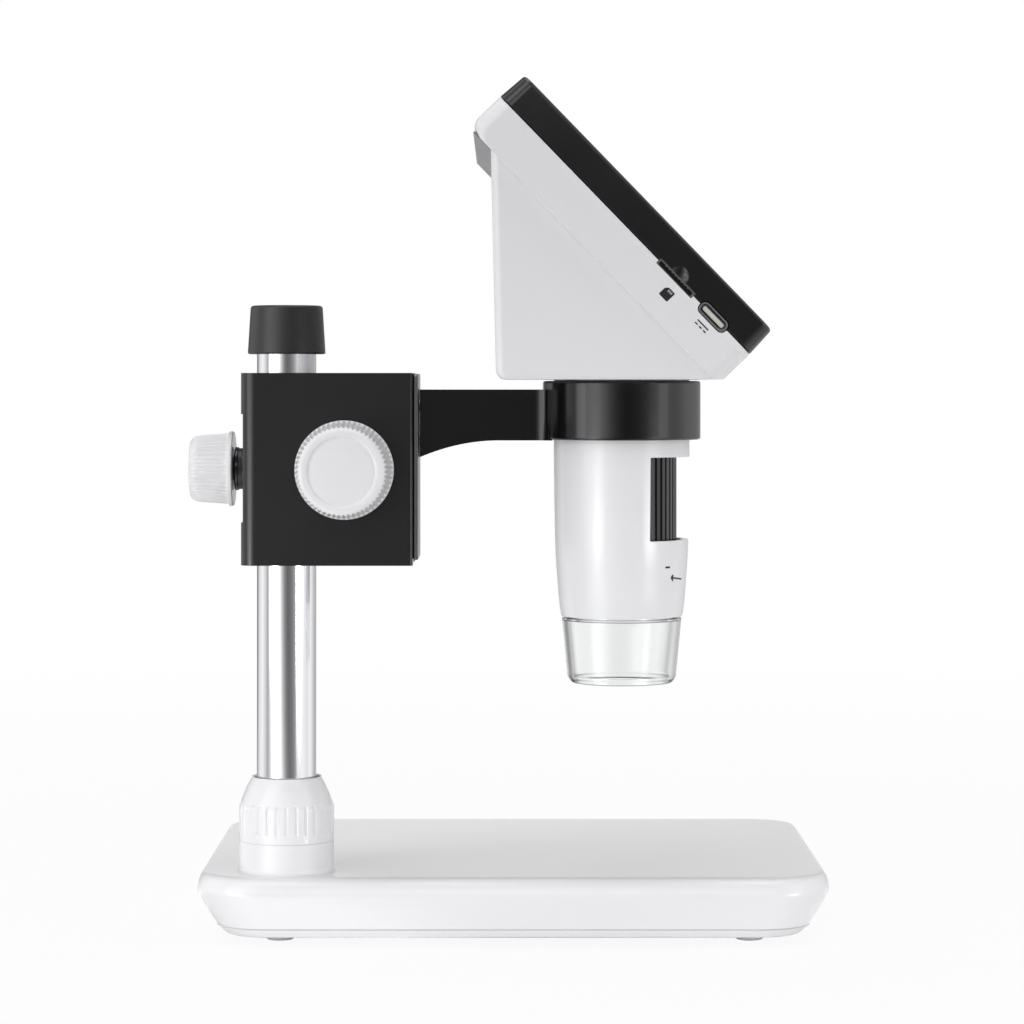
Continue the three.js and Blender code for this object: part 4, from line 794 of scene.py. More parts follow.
def base_section(size):
    """The moulded edge from the seam to the flat top, as (height, inset at the ends, inset at the sides)."""
    steps, bow = 6, 1.15  # the face under the rim bows out a little
    section = []
    for k in range(steps):
        rise = k / steps
        sag = (1 - rise) ** bow
        height = size.seam_height + (size.rim_height - size.seam_height) * rise
        section.append((height, size.seam_inset_end * sag, size.seam_inset_side * sag))
    for run, climb in quarter(10):
        height = size.rim_height + (size.stage_height - size.rim_height) * run
        section.append((height, size.top_inset_end * climb, size.top_inset_side * climb))
    return section


def pan_screw(shank, length_mm, head, head_height):
    """A cross-recessed pan-head screw whose shank points up from its seat at height zero."""
    recess, edge = 0.35, 0.3  # shares of the head's height
    profile = [(0, -head_height)]
    for angle in (0.5, 0.8, 1.05, 1.25):
        profile.append((head * math.sin(angle), -head_height * (recess + (1 - recess) * math.cos(angle))))
    profile += [(head, -head_height * edge), (head, 0), (shank, 0)]
    pitch, core = shank * 0.62, shank * 0.82
    crest = pitch * 0.15  # half the width of a thread's top
    z = pitch
    while z < length_mm - pitch:
        profile += [(shank, z - crest), (shank, z + crest), (core, z + pitch / 2)]
        z += pitch
    profile += [(shank * 0.6, length_mm - 0.2), (0, length_mm)]
    reach, wide = head * 0.52, head * 0.15
    blades = []
    for a, b in ((reach, wide), (wide, reach)):
        blades.append(prism(plan(-a, a, -b, b, wide * 0.4, 3), -head_height - OVER, -head_height * recess))
    return cut(turned(profile, 32), *blades)


def round_place(name):
    """Where an upright round node of the frame stands, from the pole's axis, and its radius."""
    low, high = local_box(name)
    return (low.x + high.x) / 2, (low.y + high.y) / 2, (high.x - low.x) / 2


def raised_ring(inner, width, stand, count):
    """A low ring that stands out below a face at height zero."""
    draft, sunk = 0.05, 0.3
    outer = inner + width
    return turned([(inner, sunk), (inner + draft, -stand), (outer - draft, -stand), (outer, sunk)], count)


def base_cover(size):
    """The white cover: a hollow shell, with the round boss on it that holds the pole."""
    section = base_section(size)
    hollow = []
    for z, end, side in reversed(section):
        hollow.append((min(z, size.stage_height - size.wall), end + size.wall, side + size.wall))
    shell = loft([(z, base_plan(size, end, side)) for z, end, side in hollow + section])

    bore, neck = POLE_RADIUS + 0.3, size.boss_radius - 2.35
    foot, sunk = size.boss_radius + size.boss_fillet, size.stage_height - 1
    spigot = local_box("base_cover")[1].z
    fillet = []
    for run, climb in quarter(8):
        fillet.append((foot - size.boss_fillet * run, size.stage_height + size.boss_fillet * climb))
    upper = [(size.boss_radius, size.boss_top), (neck, size.boss_top), (neck, spigot), (bore, spigot)]
    radii = [0] * (2 + len(fillet)) + [0.05, 0, 0.2, 0.2]
    boss = turned(rounded([(bore, sunk), (foot, sunk), *fillet, *upper], radii), 128)
    piece(
        "base_cover_moulding", together(shell, boss), "stand", "abs_white",
        stands_for=["base_cover"],
    )


def base_tray(size):
    """The tray: a shallow dish with holes for the screws, a ring round each screw and foot, and a lip."""
    floor = local_box("base_tray")[0].z
    end, side = size.seam_inset_end, size.seam_inset_side
    dish = loft(
        [
            (floor, base_plan(size, end + 2.6, side + 0.9)),
            (floor + 0.25, base_plan(size, end + 2.2, side + 0.4)),
            (floor + 0.9, base_plan(size, end + 1.5, side + 0.12)),
            (size.tray_top - 0.25, base_plan(size, end, side)),
            (size.tray_top, base_plan(size, end + 0.25, side + 0.25)),
        ]
    )
    holes, rings = [], []
    for name in BASE_SCREWS:
        x, y, r = round_place(name)
        holes.append(prism(circle(r + 0.4, 48, x, y), floor - OVER, size.tray_top - 0.02))
        rings.append(moved(raised_ring(r + 0.7, 0.65, 0.12, 48), shift(x, y, floor)))
    for name in FEET:
        x, y, r = round_place(name)
        rings.append(moved(raised_ring(4.5, 0.85, 0.15, 64), shift(x, y, floor)))

    gap, thick = size.wall + 0.3, 1.5
    low, high = size.tray_top - 0.3, size.tray_top + 1.6
    outer = base_plan(size, end + gap, side + gap)
    inner = base_plan(size, end + gap + thick, side + gap + thick)
    lip = loft([(low, outer), (high, outer), (high, inner), (low, inner)], ring=True)
    piece(
        "base_tray_moulding", together(cut(dish, *holes), *rings, lip), "stand", "abs_tray",
        stands_for=["base_tray"],
    )


def rubber_feet():
    """The four feet, each slightly hollow underneath."""
    hollow, tread = 0.25, 0.5
    for name in FEET:
        low, high = local_box(name)
        x, y, r = round_place(name)
        under = [(0, hollow), (r - 1.7, hollow), (r - 1.5, 0), (r - tread, 0), (r, tread)]
        profile = rounded(
            [*under, (r, high.z), (0, high.z)], [0, 0.1, 0.1, 0.2, 0.3, 0.1, 0], closed=False
        )
        made = moved(turned(profile, 64), shift(x, y, low.z))
        piece(f"{name}_pad", made, "stand", "rubber_foot", stands_for=[name])


def base_screws():
    """The four screws that hold the tray to the cover."""
    shank, head_height = 1.4, 1.6
    for name in BASE_SCREWS:
        low, high = local_box(name)
        x, y, r = round_place(name)
        seat = low.z + head_height
        made = moved(pan_screw(shank, high.z - seat, r, head_height), shift(x, y, seat))
        piece(f"{name}_cross_recessed", made, "stand", "steel_zinc", stands_for=[name])


class MICROSCOPE_OT_base(bpy.types.Operator):
    """Builds the base cover with its boss, the tray under it, the feet and the base screws"""

    bl_idname = "microscope.base"
    bl_label = "Base"

    def execute(self, context):
        size = in_mm(context.scene.microscope_stand)
        base_cover(size)
        base_tray(size)
        rubber_feet()
        base_screws()
        return {"FINISHED"}


def pole_tube():
    """The steel tube, with its ends eased."""
    inner, low, high = POLE_RADIUS - 1, POLE_LOW.z, POLE_HIGH.z
    profile = [(inner, low), (POLE_RADIUS, low), (POLE_RADIUS, high), (inner, high)]
    tube = turned(rounded(profile, 0.25, 3), 128)
    piece("pole_tube", tube, "stand", "steel_polished", stands_for=["pole"])


def pole_cap():
    """The rubber cap that closes the pole's upper end."""
    low, high = local_box("pole_cap")
    wide, inner = (high.x - low.x) / 2, POLE_RADIUS + 0.3
    top, ceiling = wide - 0.8, high.z - 1.7
    profile = [(inner, low.z), (wide, low.z), (top, high.z), (0, high.z), (0, ceiling), (inner, ceiling)]
    cap = turned(rounded(profile, [0.15, 0.45, 0.85, 0, 0, 0]), 128)
    piece("pole_cap_rubber", cap, "stand", "rubber_black", stands_for=["pole_cap"])


def lock_nut(size):
    """The grooved nut round the pole's foot. Its grooves run out at the foot of a cone that bends inwards."""
    low, high = local_box("lock_nut")
    wide, top = (high.x - low.x) / 2, high.z
    bottom, shoulder, mouth = size.boss_top + 0.05, size.nut_shoulder, size.nut_mouth
    thread, relief, inside = 10.7, 9.5, top - 2.4
    cone = [(wide - 0.45, shoulder + 0.5), (wide - 0.8, shoulder + 1.7), (wide - 2.05, 40.5)]
    cone = smooth_curve([*cone, (wide - 3.2, 42.7)], 5)
    shares = [0.7, 0.45, 0.2] + [0] * len(cone)
    profile = [
        (thread, bottom, 0),
        (wide - 0.05, bottom, 0),
        (wide, bottom + 0.05, 0),
        (wide, size.groove_bottom - 0.25, 0),
        (wide, size.groove_bottom, 0.6),
        (wide, size.groove_bottom + 0.3, 1),
        (wide, shoulder - 0.6, 1),
        (wide - 0.1, shoulder, 0.9),
        *[(r, z, share) for (r, z), share in zip(cone, shares)],
        (wide - 3.6, top - 0.12, 0),
        (mouth + 0.6, top, 0),
        (mouth + 0.25, top - 0.05, 0),
        (mouth, top - 0.3, 0),
        (mouth, inside, 0),
        (relief, inside, 0),
        (thread, shoulder, 0),
    ]
    nut = turned(profile, size.nut_grooves * 16, size.nut_grooves, size.nut_groove, groove)
    piece("lock_nut_moulding", nut, "nut", "abs_white", stands_for=["lock_nut"])


class MICROSCOPE_OT_pole(bpy.types.Operator):
    """Builds the pole, its rubber cap, and the lock nut at its foot"""

    bl_idname = "microscope.pole"
    bl_label = "Pole and lock nut"

    def execute(self, context):
        pole_tube()
        pole_cap()
        lock_nut(in_mm(context.scene.microscope_stand))
        return {"FINISHED"}


# The rack housing, the slide with its arm, and the knobs


def gear_axis():
    """Where the pinion's shaft runs: how far right of the pole's axis, and how high."""
    low, high = local_box("gear_cover")
    return (low.x + high.x) / 2, (low.z + high.z) / 2


def rack_housing(size):
    """The painted block: bored for the pole, with its dovetail slot, gear space and clamp recess."""
    low, high = local_box("rack_housing")
    gear_x, gear_z = gear_axis()
    half = (high.y - low.y) / 2
    bottom, top, past = low.z - OVER, high.z + OVER, high.x + OVER
    sharp = 0.8  # radius of the upright corners beside the carriage
    outline = plan(low.x, high.x, -half, half, [sharp, size.corner, size.corner, sharp], 12)
    block = prism(outline, low.z, high.z)
    bore = prism(circle(POLE_RADIUS + 1.5, 96), bottom, top)
    back, mouth, root = high.x - size.dovetail, size.mouth, size.root
    slot = prism(
        [(back, -root), (high.x, -mouth), (past, -mouth), (past, mouth), (high.x, mouth), (back, root)],
        bottom, top,
    )
    reach = 3.8
    channel = prism(
        [(gear_x + reach, -reach), (back + OVER, -reach), (back + OVER, reach), (gear_x + reach, reach)],
        bottom, top,
    )
    at_gear = facing(gear_x, 0, gear_z, "front")
    cavity = moved(prism(circle(5.9, 64), -half - OVER, 3.6), at_gear)
    shaft = moved(prism(circle(2.8, 48), 0, half + OVER), at_gear)
    recess_end = plan(size.recess_bottom, size.recess_top, -half - OVER, half + OVER, 0.3, 2)
    recess = bar_x(recess_end, low.x - OVER, low.x + size.recess)
    seat_x = low.x + size.recess + 0.4
    knob_seat = moved(prism(circle(8.85, 96), 0, 2 * OVER), facing(seat_x, 0, gear_z, "left"))
    clamp_hole = moved(prism(circle(3.3, 48), 0, -low.x), facing(0, 0, gear_z, "left"))
    body = cut(block, bore, slot, channel, cavity, shaft, recess, knob_seat, clamp_hole)
    piece(
        "rack_housing_painted", eased(body, size.edge, 38, 3), "housing", "paint_black",
        stands_for=["rack_housing"], smooth=38,
    )


def gear_cover():
    """The round cover in the housing's far side, bored for the shaft, with two small holes to turn it by."""
    low, high = local_box("gear_cover")
    block_low, block_high = local_box("rack_housing")
    face = (block_high.y - block_low.y) / 2
    wide, rim = (high.x - low.x) / 2, high.y - face
    dish, bore, plug, depth = rim - 0.35, 2.8, 5.6, -4
    inside = [(bore, depth), (plug, depth), (plug, 0.3), (wide, 0.3)]
    outside = [(wide, rim), (5.2, rim), (5, dish), (bore, dish)]
    cover = turned(rounded(inside + outside, [0.1, 0.1, 0, 0.1, 0.35, 0.1, 0.1, 0.2]), 96)
    holes = [prism(circle(0.65, 24, 0, y), rim - 0.7, rim + OVER) for y in (6.2, -6.2)]
    gear_x, gear_z = gear_axis()
    cover = moved(cut(cover, *holes), facing(gear_x, face, gear_z, "back"))
    piece("gear_cover_moulding", cover, "housing", "abs_bezel", stands_for=["gear_cover"])


class MICROSCOPE_OT_housing(bpy.types.Operator):
    """Builds the rack housing that is clamped on the pole, and the bearing cover in its far side"""

    bl_idname = "microscope.housing"
    bl_label = "Rack housing"

    def execute(self, context):
        rack_housing(in_mm(context.scene.microscope_slide))
        gear_cover()
        return {"FINISHED"}


def arm_screw_places():
    """The arm's two screws: name, head radius, height, seat, and length from the seat."""
    places = []
    for name in ARM_SCREWS:
        low, high = local_box(name)
        seat = low.x + ARM_SCREW_HEAD
        places.append((name, (high.y - low.y) / 2, (low.z + high.z) / 2, seat, high.x - seat))
    return places


def slide_carriage(size):
    """The dovetail carriage with its face plate, sunk round the heads of the arm's screws."""
    low, high = local_box("slide_carriage")
    play, ease = 0.3, 0.3
    mouth, root = size.mouth - play, size.root - play
    back = high.x - 1.1  # of the face plate
    outline = [(low.x, -root), (back - ease, -mouth), (back + ease, -mouth)]
    stem = prism([*outline, *[(x, -y) for x, y in reversed(outline)]], low.z, high.z)
    plate = bar_x(plan(low.z, high.z, low.y, high.y, 1, 5), back, high.x)
    body = cut(eased(stem, 0.2, 30), eased(plate, 0.22), operation="UNION")
    pockets = []
    for _, r, z, seat, _ in arm_screw_places():
        pockets.append(moved(prism(circle(r + 0.3, 48), low.x - OVER, seat), facing(0, 0, z, "right")))
    piece(
        "slide_carriage_anodised", cut(body, *pockets), "carriage", "aluminium",
        stands_for=["slide_carriage"],
    )


def arm_screws():
    """The two screws that hold the arm to the carriage."""
    for name, r, z, seat, reach in arm_screw_places():
        made = moved(pan_screw(1.5, reach, r, ARM_SCREW_HEAD), facing(seat, 0, z, "right"))
        piece(f"{name}_cross_recessed", made, "carriage", "steel_zinc", stands_for=[name])


def arm_flare(size, inner, outer):
    """Outline of the arm's end from above, where it widens in two fillets into the collar."""
    half, steps = size.arm_width / 2, 12
    reach = outer + size.arm_fillet
    hub_x, hub_y = -math.sqrt(reach**2 - (half + size.arm_fillet) ** 2), half + size.arm_fillet
    start, end = -TURN / 4, math.atan2(-hub_y, -hub_x)
    side = []
    for k in range(steps + 1):
        angle = start + (end - start) * k / steps
        side.append((hub_x + size.arm_fillet * math.cos(angle), hub_y + size.arm_fillet * math.sin(angle)))
    middle, y = (inner + outer) / 2, side[-1][1]
    side.append((-math.sqrt(middle**2 - y**2), y))
    return [*reversed(side), *[(x, -y) for x, y in side]]


def holder_arm(size):
    """The black arm, whose under side sweeps up to the round collar that holds the tube."""
    low, high = local_box("holder_arm")
    outer, half = (high.y - low.y) / 2, size.arm_width / 2
    inner = outer - 1.4
    steps = 24
    under = []
    for k in range(steps + 1):
        t = k / steps
        height = size.arm_bottom - (size.arm_bottom - low.z) * (1 - t) ** 2
        under.append((low.x + (size.arm_curve_end - low.x) * t, height))
    tip = TUBE_X - inner - 0.1
    bar_side = [*under, (tip, size.arm_bottom), (tip, size.arm_top), (low.x, size.arm_top)]
    flare = moved(prism(arm_flare(size, inner, outer), size.arm_bottom, size.arm_top), shift(TUBE_X))
    arm = cut(bar_y(bar_side, -half, half), flare, operation="UNION")
    bore = moved(prism(circle(inner + 0.05, 160), size.arm_bottom - 5, size.arm_top + 5), shift(TUBE_X))
    arm = eased(cut(arm, bore), 0.7, 50, 3)
    bolt = circle(1.8, 32)
    heights = [place[2] for place in arm_screw_places()]
    bolts = [moved(prism(bolt, low.x - OVER, low.x + 5.8), facing(0, 0, z, "right")) for z in heights]
    ring = [(inner, size.collar_bottom), (outer, size.collar_bottom), (outer, high.z), (inner, high.z)]
    collar = turned(rounded(ring, [0.3, 0.85, 0.85, 0.3]), 160)
    piece(
        "holder_arm_moulding", together(cut(arm, *bolts), moved(collar, shift(TUBE_X))), "carriage",
        "abs_black", stands_for=["holder_arm"],
    )


def collar_liner():
    """The rubber liner in the collar, with beads that grip the tube."""
    low, high = local_box("collar_liner")
    wide, count = (high.y - low.y) / 2, 6
    root, crest = wide - 0.95, wide - 0.8
    beads = []
    for k in range(count):
        z = low.z + (high.z - low.z) * (k + 0.5) / count
        beads += [(root, z - 0.5), (crest, z - 0.25), (crest, z + 0.25), (root, z + 0.5)]
    liner = turned([(wide, high.z), (wide, low.z), (root, low.z), *beads, (root, high.z)], 128)
    piece(
        "collar_liner_rubber", moved(liner, shift(TUBE_X)), "carriage", "rubber_black",
        stands_for=["collar_liner"],
    )


class MICROSCOPE_OT_slide(bpy.types.Operator):
    """Builds the dovetail carriage, its screws, and the arm with the collar and its rubber liner"""

    bl_idname = "microscope.slide"
    bl_label = "Carriage and arm"

    def execute(self, context):
        size = in_mm(context.scene.microscope_slide)
        slide_carriage(size)
        arm_screws()
        holder_arm(size)
        collar_liner()
        return {"FINISHED"}


def focus_knob(size):
    """The focus knob: a ribbed crown that tapers to a rounded rim, with a recessed disc in its face."""
    low, high = local_box("focus_knob")
    rear, tall = (high.x - low.x) / 2, high.y - low.y
    front, disc = rear - 1.5, size.knob_disc
    bore, depth, hub, web = 2.8, 11.8, 6, tall - 4.9
    profile = [
        (0, depth, 0),
        (bore, depth, 0),
        (bore, 0.2, 0),
        (bore + 0.2, 0, 0),
        (hub - 0.2, 0, 0),
        (hub, 0.2, 0),
        (hub, web, 0),
        (front - 1.9, web, 0),
        (rear - 2, 0.3, 0),
        (rear - 1.8, 0, 0),
        (rear - 0.3, 0, 0),
        (rear, 0.3, 0),
        (rear, 1.3, 0),
        (rear - 0.12, 1.7, 0.5),
        (rear - 0.2, 2.1, 1),
        (front + 0.35, tall - 2.2, 1),
        (front + 0.25, tall - 1.5, 0.9),
        (front - 0.05, tall - 0.8, 0.5),
        (front - 0.45, tall - 0.35, 0.12),
        (front - 0.9, tall - 0.08, 0),
        (front - 1.3, tall, 0),
        (disc + 0.35, tall, 0),
        (disc + 0.12, tall - 0.1, 0),
        (disc, tall - 0.35, 0),
        (disc - 0.12, tall - 0.62, 0),
        (disc - 0.45, tall - 0.7, 0),
        (disc - 0.9, tall - 0.6, 0),
        (disc - 1.6, tall - 0.52, 0),
        (3, tall - 0.44, 0),
        (0, tall - 0.42, 0),
    ]
    knob = turned(profile, size.knob_ribs * 10, size.knob_ribs, size.knob_rib, ridge)
    place = facing((low.x + high.x) / 2, high.y, (low.z + high.z) / 2, "front")
    piece(
        "focus_knob_moulding", moved(knob, place), "focus", "abs_white",
        stands_for=["focus_knob"],
    )


def clamp_knob(size):
    """The clamp knob: a plain rim at its root, and a ribbed body that tapers to its end."""
    low, high = local_box("clamp_knob")
    rim, tall = (high.y - low.y) / 2, high.x - low.x
    body, end = rim - 0.6, rim - 1.4
    bore, depth = 3.3, 7.3
    profile = [
        (0, depth, 0),
        (bore, depth, 0),
        (bore, 0.2, 0),
        (bore + 0.2, 0, 0),
        (rim - 0.25, 0, 0),
        (rim, 0.25, 0),
        (rim, 1.0, 0),
        (rim - 0.1, 1.2, 0),
        (rim - 0.45, 1.35, 0.4),
        (body, 1.6, 1),
        (end + 0.3, tall - 2.4, 1),
        (end + 0.12, tall - 1.7, 0.7),
        (end - 0.2, tall - 1.0, 0.3),
        (end - 0.65, tall - 0.45, 0),
        (end - 1.2, tall - 0.12, 0),
        (end - 1.9, tall, 0),
        (0, tall, 0),
    ]
    knob = turned(profile, size.clamp_ribs * 10, size.clamp_ribs, size.clamp_rib, ridge)
    place = facing(high.x, 0, (low.z + high.z) / 2, "left")
    piece(
        "clamp_knob_moulding", moved(knob, place), "clamp", "abs_white",
        stands_for=["clamp_knob"],
    )


def clamp_screw():
    """The clamp screw's black neck behind the knob, with a rubber washer in its groove."""
    knob_low, knob_high = local_box("clamp_knob")
    low, high = local_box("clamp_screw")
    wide, shank, face, depth = (high.y - low.y) / 2, 3, -0.3, 7
    root = knob_high.x - high.x
    seat = root + 1.2
    middle, half = (seat + face) / 2, 0.55
    band_low, band_high, floor = middle - half, middle + half, wide - 0.5
    channel = [(wide, band_low), (floor, band_low), (floor, band_high), (wide, band_high)]
    collar = [(shank, seat), (wide, seat), *channel, (wide, face), (shank, face)]
    profile = [(0, root), (shank, root), *collar, (shank, depth), (0, depth)]
    neck = turned(rounded(profile, 0.12, 2, closed=False), 96)
    inner, outer = wide - 0.9, wide - 0.3
    washer = turned([(inner, band_low), (outer, band_low), (outer, band_high), (inner, band_high)], 96)
    place = facing(knob_high.x, 0, (knob_low.z + knob_high.z) / 2, "left")
    piece(
        "clamp_screw_neck", moved(together((neck, 0), (washer, 1)), place), "clamp",
        ["abs_bezel", "rubber_black"], stands_for=["clamp_screw"],
    )


class MICROSCOPE_OT_knobs(bpy.types.Operator):
    """Builds the ribbed focus knob and the clamp knob with its necked screw"""

    bl_idname = "microscope.knobs"
    bl_label = "Knobs"

    def execute(self, context):
        size = in_mm(context.scene.microscope_slide)
        focus_knob(size)
        clamp_knob(size)
        clamp_screw()
        return {"FINISHED"}


# The tube with its wheel and hood, and the lens in it


def tube(size):
    """The white sleeve with its flange, cut open at the window."""
    low, high = local_box("tube_shell")
    flange, step = (high.y - low.y) / 2, high.z - 2
    foot, top = TUBE_OUTLINE[0][0], TUBE_OUTLINE[-1][0]
    outside = [(16.15, low.z), (foot, low.z + 0.15), *TUBE_OUTLINE[1:]]
    brim = [(top, step), (flange, step), (flange, high.z), (top - size.wall, high.z)]
    inside = [(r - size.wall, z) for r, z in reversed(TUBE_OUTLINE)]
    sleeve = turned(outside + brim + inside, 192)
    reach, steps = flange + OVER, 12
    fan = [(0, 0)]
    for k in range(-steps, steps + 1):
        angle = math.radians(WINDOW_HALF * k / steps)
        fan.append((reach * math.cos(angle), reach * math.sin(angle)))
    shell = eased(cut(sleeve, prism(fan, size.window_bottom, size.window_top)), 0.28, 50)
    piece(
        "tube_moulding", moved(shell, shift(TUBE_X)), "head", "abs_white",
        stands_for=["tube_shell"], smooth=30,
    )


def focus_wheel(size):
    """The ribbed wheel behind the window."""
    low, high = local_box("focus_wheel")
    wide, bore, ease = (high.y - low.y) / 2, 12.7, 0.4
    face = wide - 0.5
    crown = [(face, low.z, 0), (wide, low.z + ease, 1), (wide, high.z - ease, 1), (face, high.z, 0)]
    profile = [(bore, low.z, 0), *crown, (bore, high.z, 0)]
    wheel = turned(profile, size.wheel_ribs * 12, size.wheel_ribs, size.wheel_rib, groove)
    piece(
        "focus_wheel_moulding", moved(wheel, shift(TUBE_X)), "wheel", "abs_bezel",
        stands_for=["focus_wheel"],
    )


def clear_hood(size):
    """The clear hood: a neck inside the tube, a shoulder, and a wall that draws in to a rounded lip."""
    low, high = local_box("clear_hood")
    lip, bend, rim, neck, wall = 12.6, 14.6, 16.1, 14.3, size.hood_wall
    top, shelf = HOOD_TOP, HOOD_TOP - 0.6
    outside = [(lip, low.z), (lip + 0.9, low.z), (bend, low.z + 1.7), (rim, top), (neck, top), (neck, high.z)]
    inside = [(neck - wall, high.z), (neck - wall, shelf), (rim - wall, shelf), (bend - wall, low.z + 1.2)]
    profile = rounded(outside + inside, [0.35, 0.8, 1.6, 0.1, 0.1, 0.2, 0.2, 0.1, 0.1, 1.0])
    piece(
        "clear_hood_acrylic", moved(turned(profile, 160), shift(TUBE_X)), "head", "acrylic",
        stands_for=["clear_hood"],
    )


class MICROSCOPE_OT_tube(bpy.types.Operator):
    """Builds the white tube with its window, the ribbed focus wheel and the clear hood"""

    bl_idname = "microscope.tube"
    bl_label = "Tube and hood"

    def execute(self, context):
        size = in_mm(context.scene.microscope_tube)
        tube(size)
        focus_wheel(size)
        clear_hood(size)
        return {"FINISHED"}


def lens_barrel():
    """The barrel, turned with steps in front of the lens that keep stray light out."""
    low, high = local_box("lens_barrel")
    glass_low, glass_high = local_box("objective_lens")
    wide, r = (high.y - low.y) / 2, (glass_high.y - glass_low.y) / 2
    face, rear, back = low.z + 0.35, glass_high.z + 0.3, wide - 1.6
    front = [(wide, high.z), (wide, low.z + 0.4), (wide - 0.4, low.z), (wide - 0.5, face), (r + 2.2, face)]
    steps = [(r + 1.9, low.z + 0.1)]
    for k in range(4):
        base, depth = r + 1.5 - k * 0.55, low.z + k * 0.2
        steps += [(base, depth + 0.1), (base - 0.35, depth + 0.3)]
    seat = [(r - 1, low.z + 1.1), (r - 1, glass_low.z), (r + 0.3, glass_low.z), (r + 0.3, rear), (back, rear)]
    barrel = turned([*front, *steps, *seat, (back, high.z)], 96)
    piece(
        "lens_barrel_turned", moved(barrel, shift(TUBE_X)), "lens", "abs_bezel",
        stands_for=["lens_barrel"],
    )


def objective_lens():
    """The objective lens, domed on both faces."""
    low, high = local_box("objective_lens")
    r, sag = (high.y - low.y) / 2, 0.5
    front = [(r * math.sin(a), low.z + sag - sag * math.cos(a * 1.2)) for a in (0, 0.2, 0.4, 0.6, 0.8)]
    rear = [(r, high.z - 1), (r * 0.8, high.z - 0.4), (r * 0.4, high.z - 0.1), (0, high.z)]
    profile = [*front, (r, low.z + sag), *rear]
    piece(
        "objective_lens_ground", moved(turned(profile, 96), shift(TUBE_X)), "lens", "lens",
        stands_for=["objective_lens"],
    )


def diode(place):
    """A light-emitting diode on its two solder pads: a square case with a round well full of phosphor."""
    half, tall, sunk = 1.4, 1.45, 0.02
    well, mouth, floor = 1.05, 1.22, -0.9
    case = prism(plan(-half, half, -half, half, 0.15, 2), -tall, sunk)
    case = cut(case, turned([(0, -2), (mouth, -2), (well, floor), (0, floor)], 32))
    glow = turned([(0, -1.3), (0.8, -1.33), (1.14, -1.38), (1.0, floor - 0.05), (0, floor - 0.05)], 32)
    pads = [prism(rectangle(x - 0.35, x + 0.35, -0.9, 0.9), -0.12, 0.01) for x in (-1.65, 1.65)]
    return [(moved(case, place), 0), (moved(glow, place), 1), *[(moved(pad, place), 2) for pad in pads]]


def lamp_board(size):
    """The ring-shaped board round the lens with its diodes."""
    low, high = local_box("lamp_board")
    wide, bore, face = (high.y - low.y) / 2, 7.6, high.z - 1.2
    ring = 10.4  # radius on which the diodes stand
    board = turned([(bore, high.z), (bore, face), (wide, face), (wide, high.z)], 128)
    parts = [(moved(board, shift(TUBE_X)), 0)]
    for k in range(size.lamps):
        parts += diode(shift(TUBE_X) @ Matrix.Rotation(k * TURN / size.lamps, 4, "Z") @ shift(ring, 0, face))
    piece(
        "lamp_board_with_diodes", together(*parts), "head",
        ["board_white", "phosphor", "tinplate"], stands_for=["lamp_board"],
    )


class MICROSCOPE_OT_lens(bpy.types.Operator):
    """Builds the lens barrel, the objective lens, and the ring of light-emitting diodes round it"""

    bl_idname = "microscope.lens"
    bl_label = "Lens and lamps"

    def execute(self, context):
        lens_barrel()
        objective_lens()
        lamp_board(in_mm(context.scene.microscope_tube))
        return {"FINISHED"}


# The head with its sockets, screen and keys


def head_tilt():
    """From the screen's own frame, X down the slope and Z out of the screen, to the tube's frame."""
    return shift(SCREEN_X, 0, SCREEN_Z) @ Matrix.Rotation(SLOPE, 4, "Y")


def head_place():
    """From the screen's own frame to the pole's frame."""
    return shift(TUBE_X) @ head_tilt()


def on_slope(x, out):
    """The (x, z) in the tube's frame of a point in the screen's own frame."""
    sine, cosine = math.sin(SLOPE), math.cos(SLOPE)
    return SCREEN_X + x * cosine + out * sine, SCREEN_Z - x * sine + out * cosine


def slab_plan(size, inset, upper=0.0):
    """Level outline of the head in the screen's frame, drawn in all round and further at its upper end."""
    half_length, half_width = size.slab_length / 2, size.slab_width / 2
    x0, x1, y1 = upper + inset - half_length, half_length - inset, half_width - inset
    return plan(x0, x1, -y1, y1, max(size.corner - inset, LEAST_ROUND), 8)


def rear_slab(size, inset, ground):
    """The slab behind the screen, round at its upper end, and how far right its lower end is level."""
    low_end = size.slab_length / 2 - inset
    low_out = (ground - on_slope(low_end, 0)[1]) / math.cos(SLOPE)
    low_x = on_slope(low_end, low_out)[0]
    low_turn = max(size.low_round - inset, LEAST_ROUND)
    back, turn = inset - size.shell_depth, max(size.back_round - inset, LEAST_ROUND)
    levels = [(back + turn * climb, slab_plan(size, inset, turn * (1 - run))) for run, climb in quarter(8)]
    levels.append((OVER if inset else 0, slab_plan(size, inset)))
    slab = moved(loft(levels), head_tilt())

    # below the wedge's foot the slab ends level, with a round at its lower end
    far = on_slope(low_end, low_out + FAR / 2)
    foot = rounded([far, (low_x, ground), (-FAR, ground)], [0, low_turn, 0], 8, closed=False)
    below = [(-FAR, ground), (-FAR, 0), (FAR, 0), (FAR, far[1]), far, *foot[1:-1]]
    return cut(slab, bar_y(below, -FAR, FAR)), low_x - low_turn


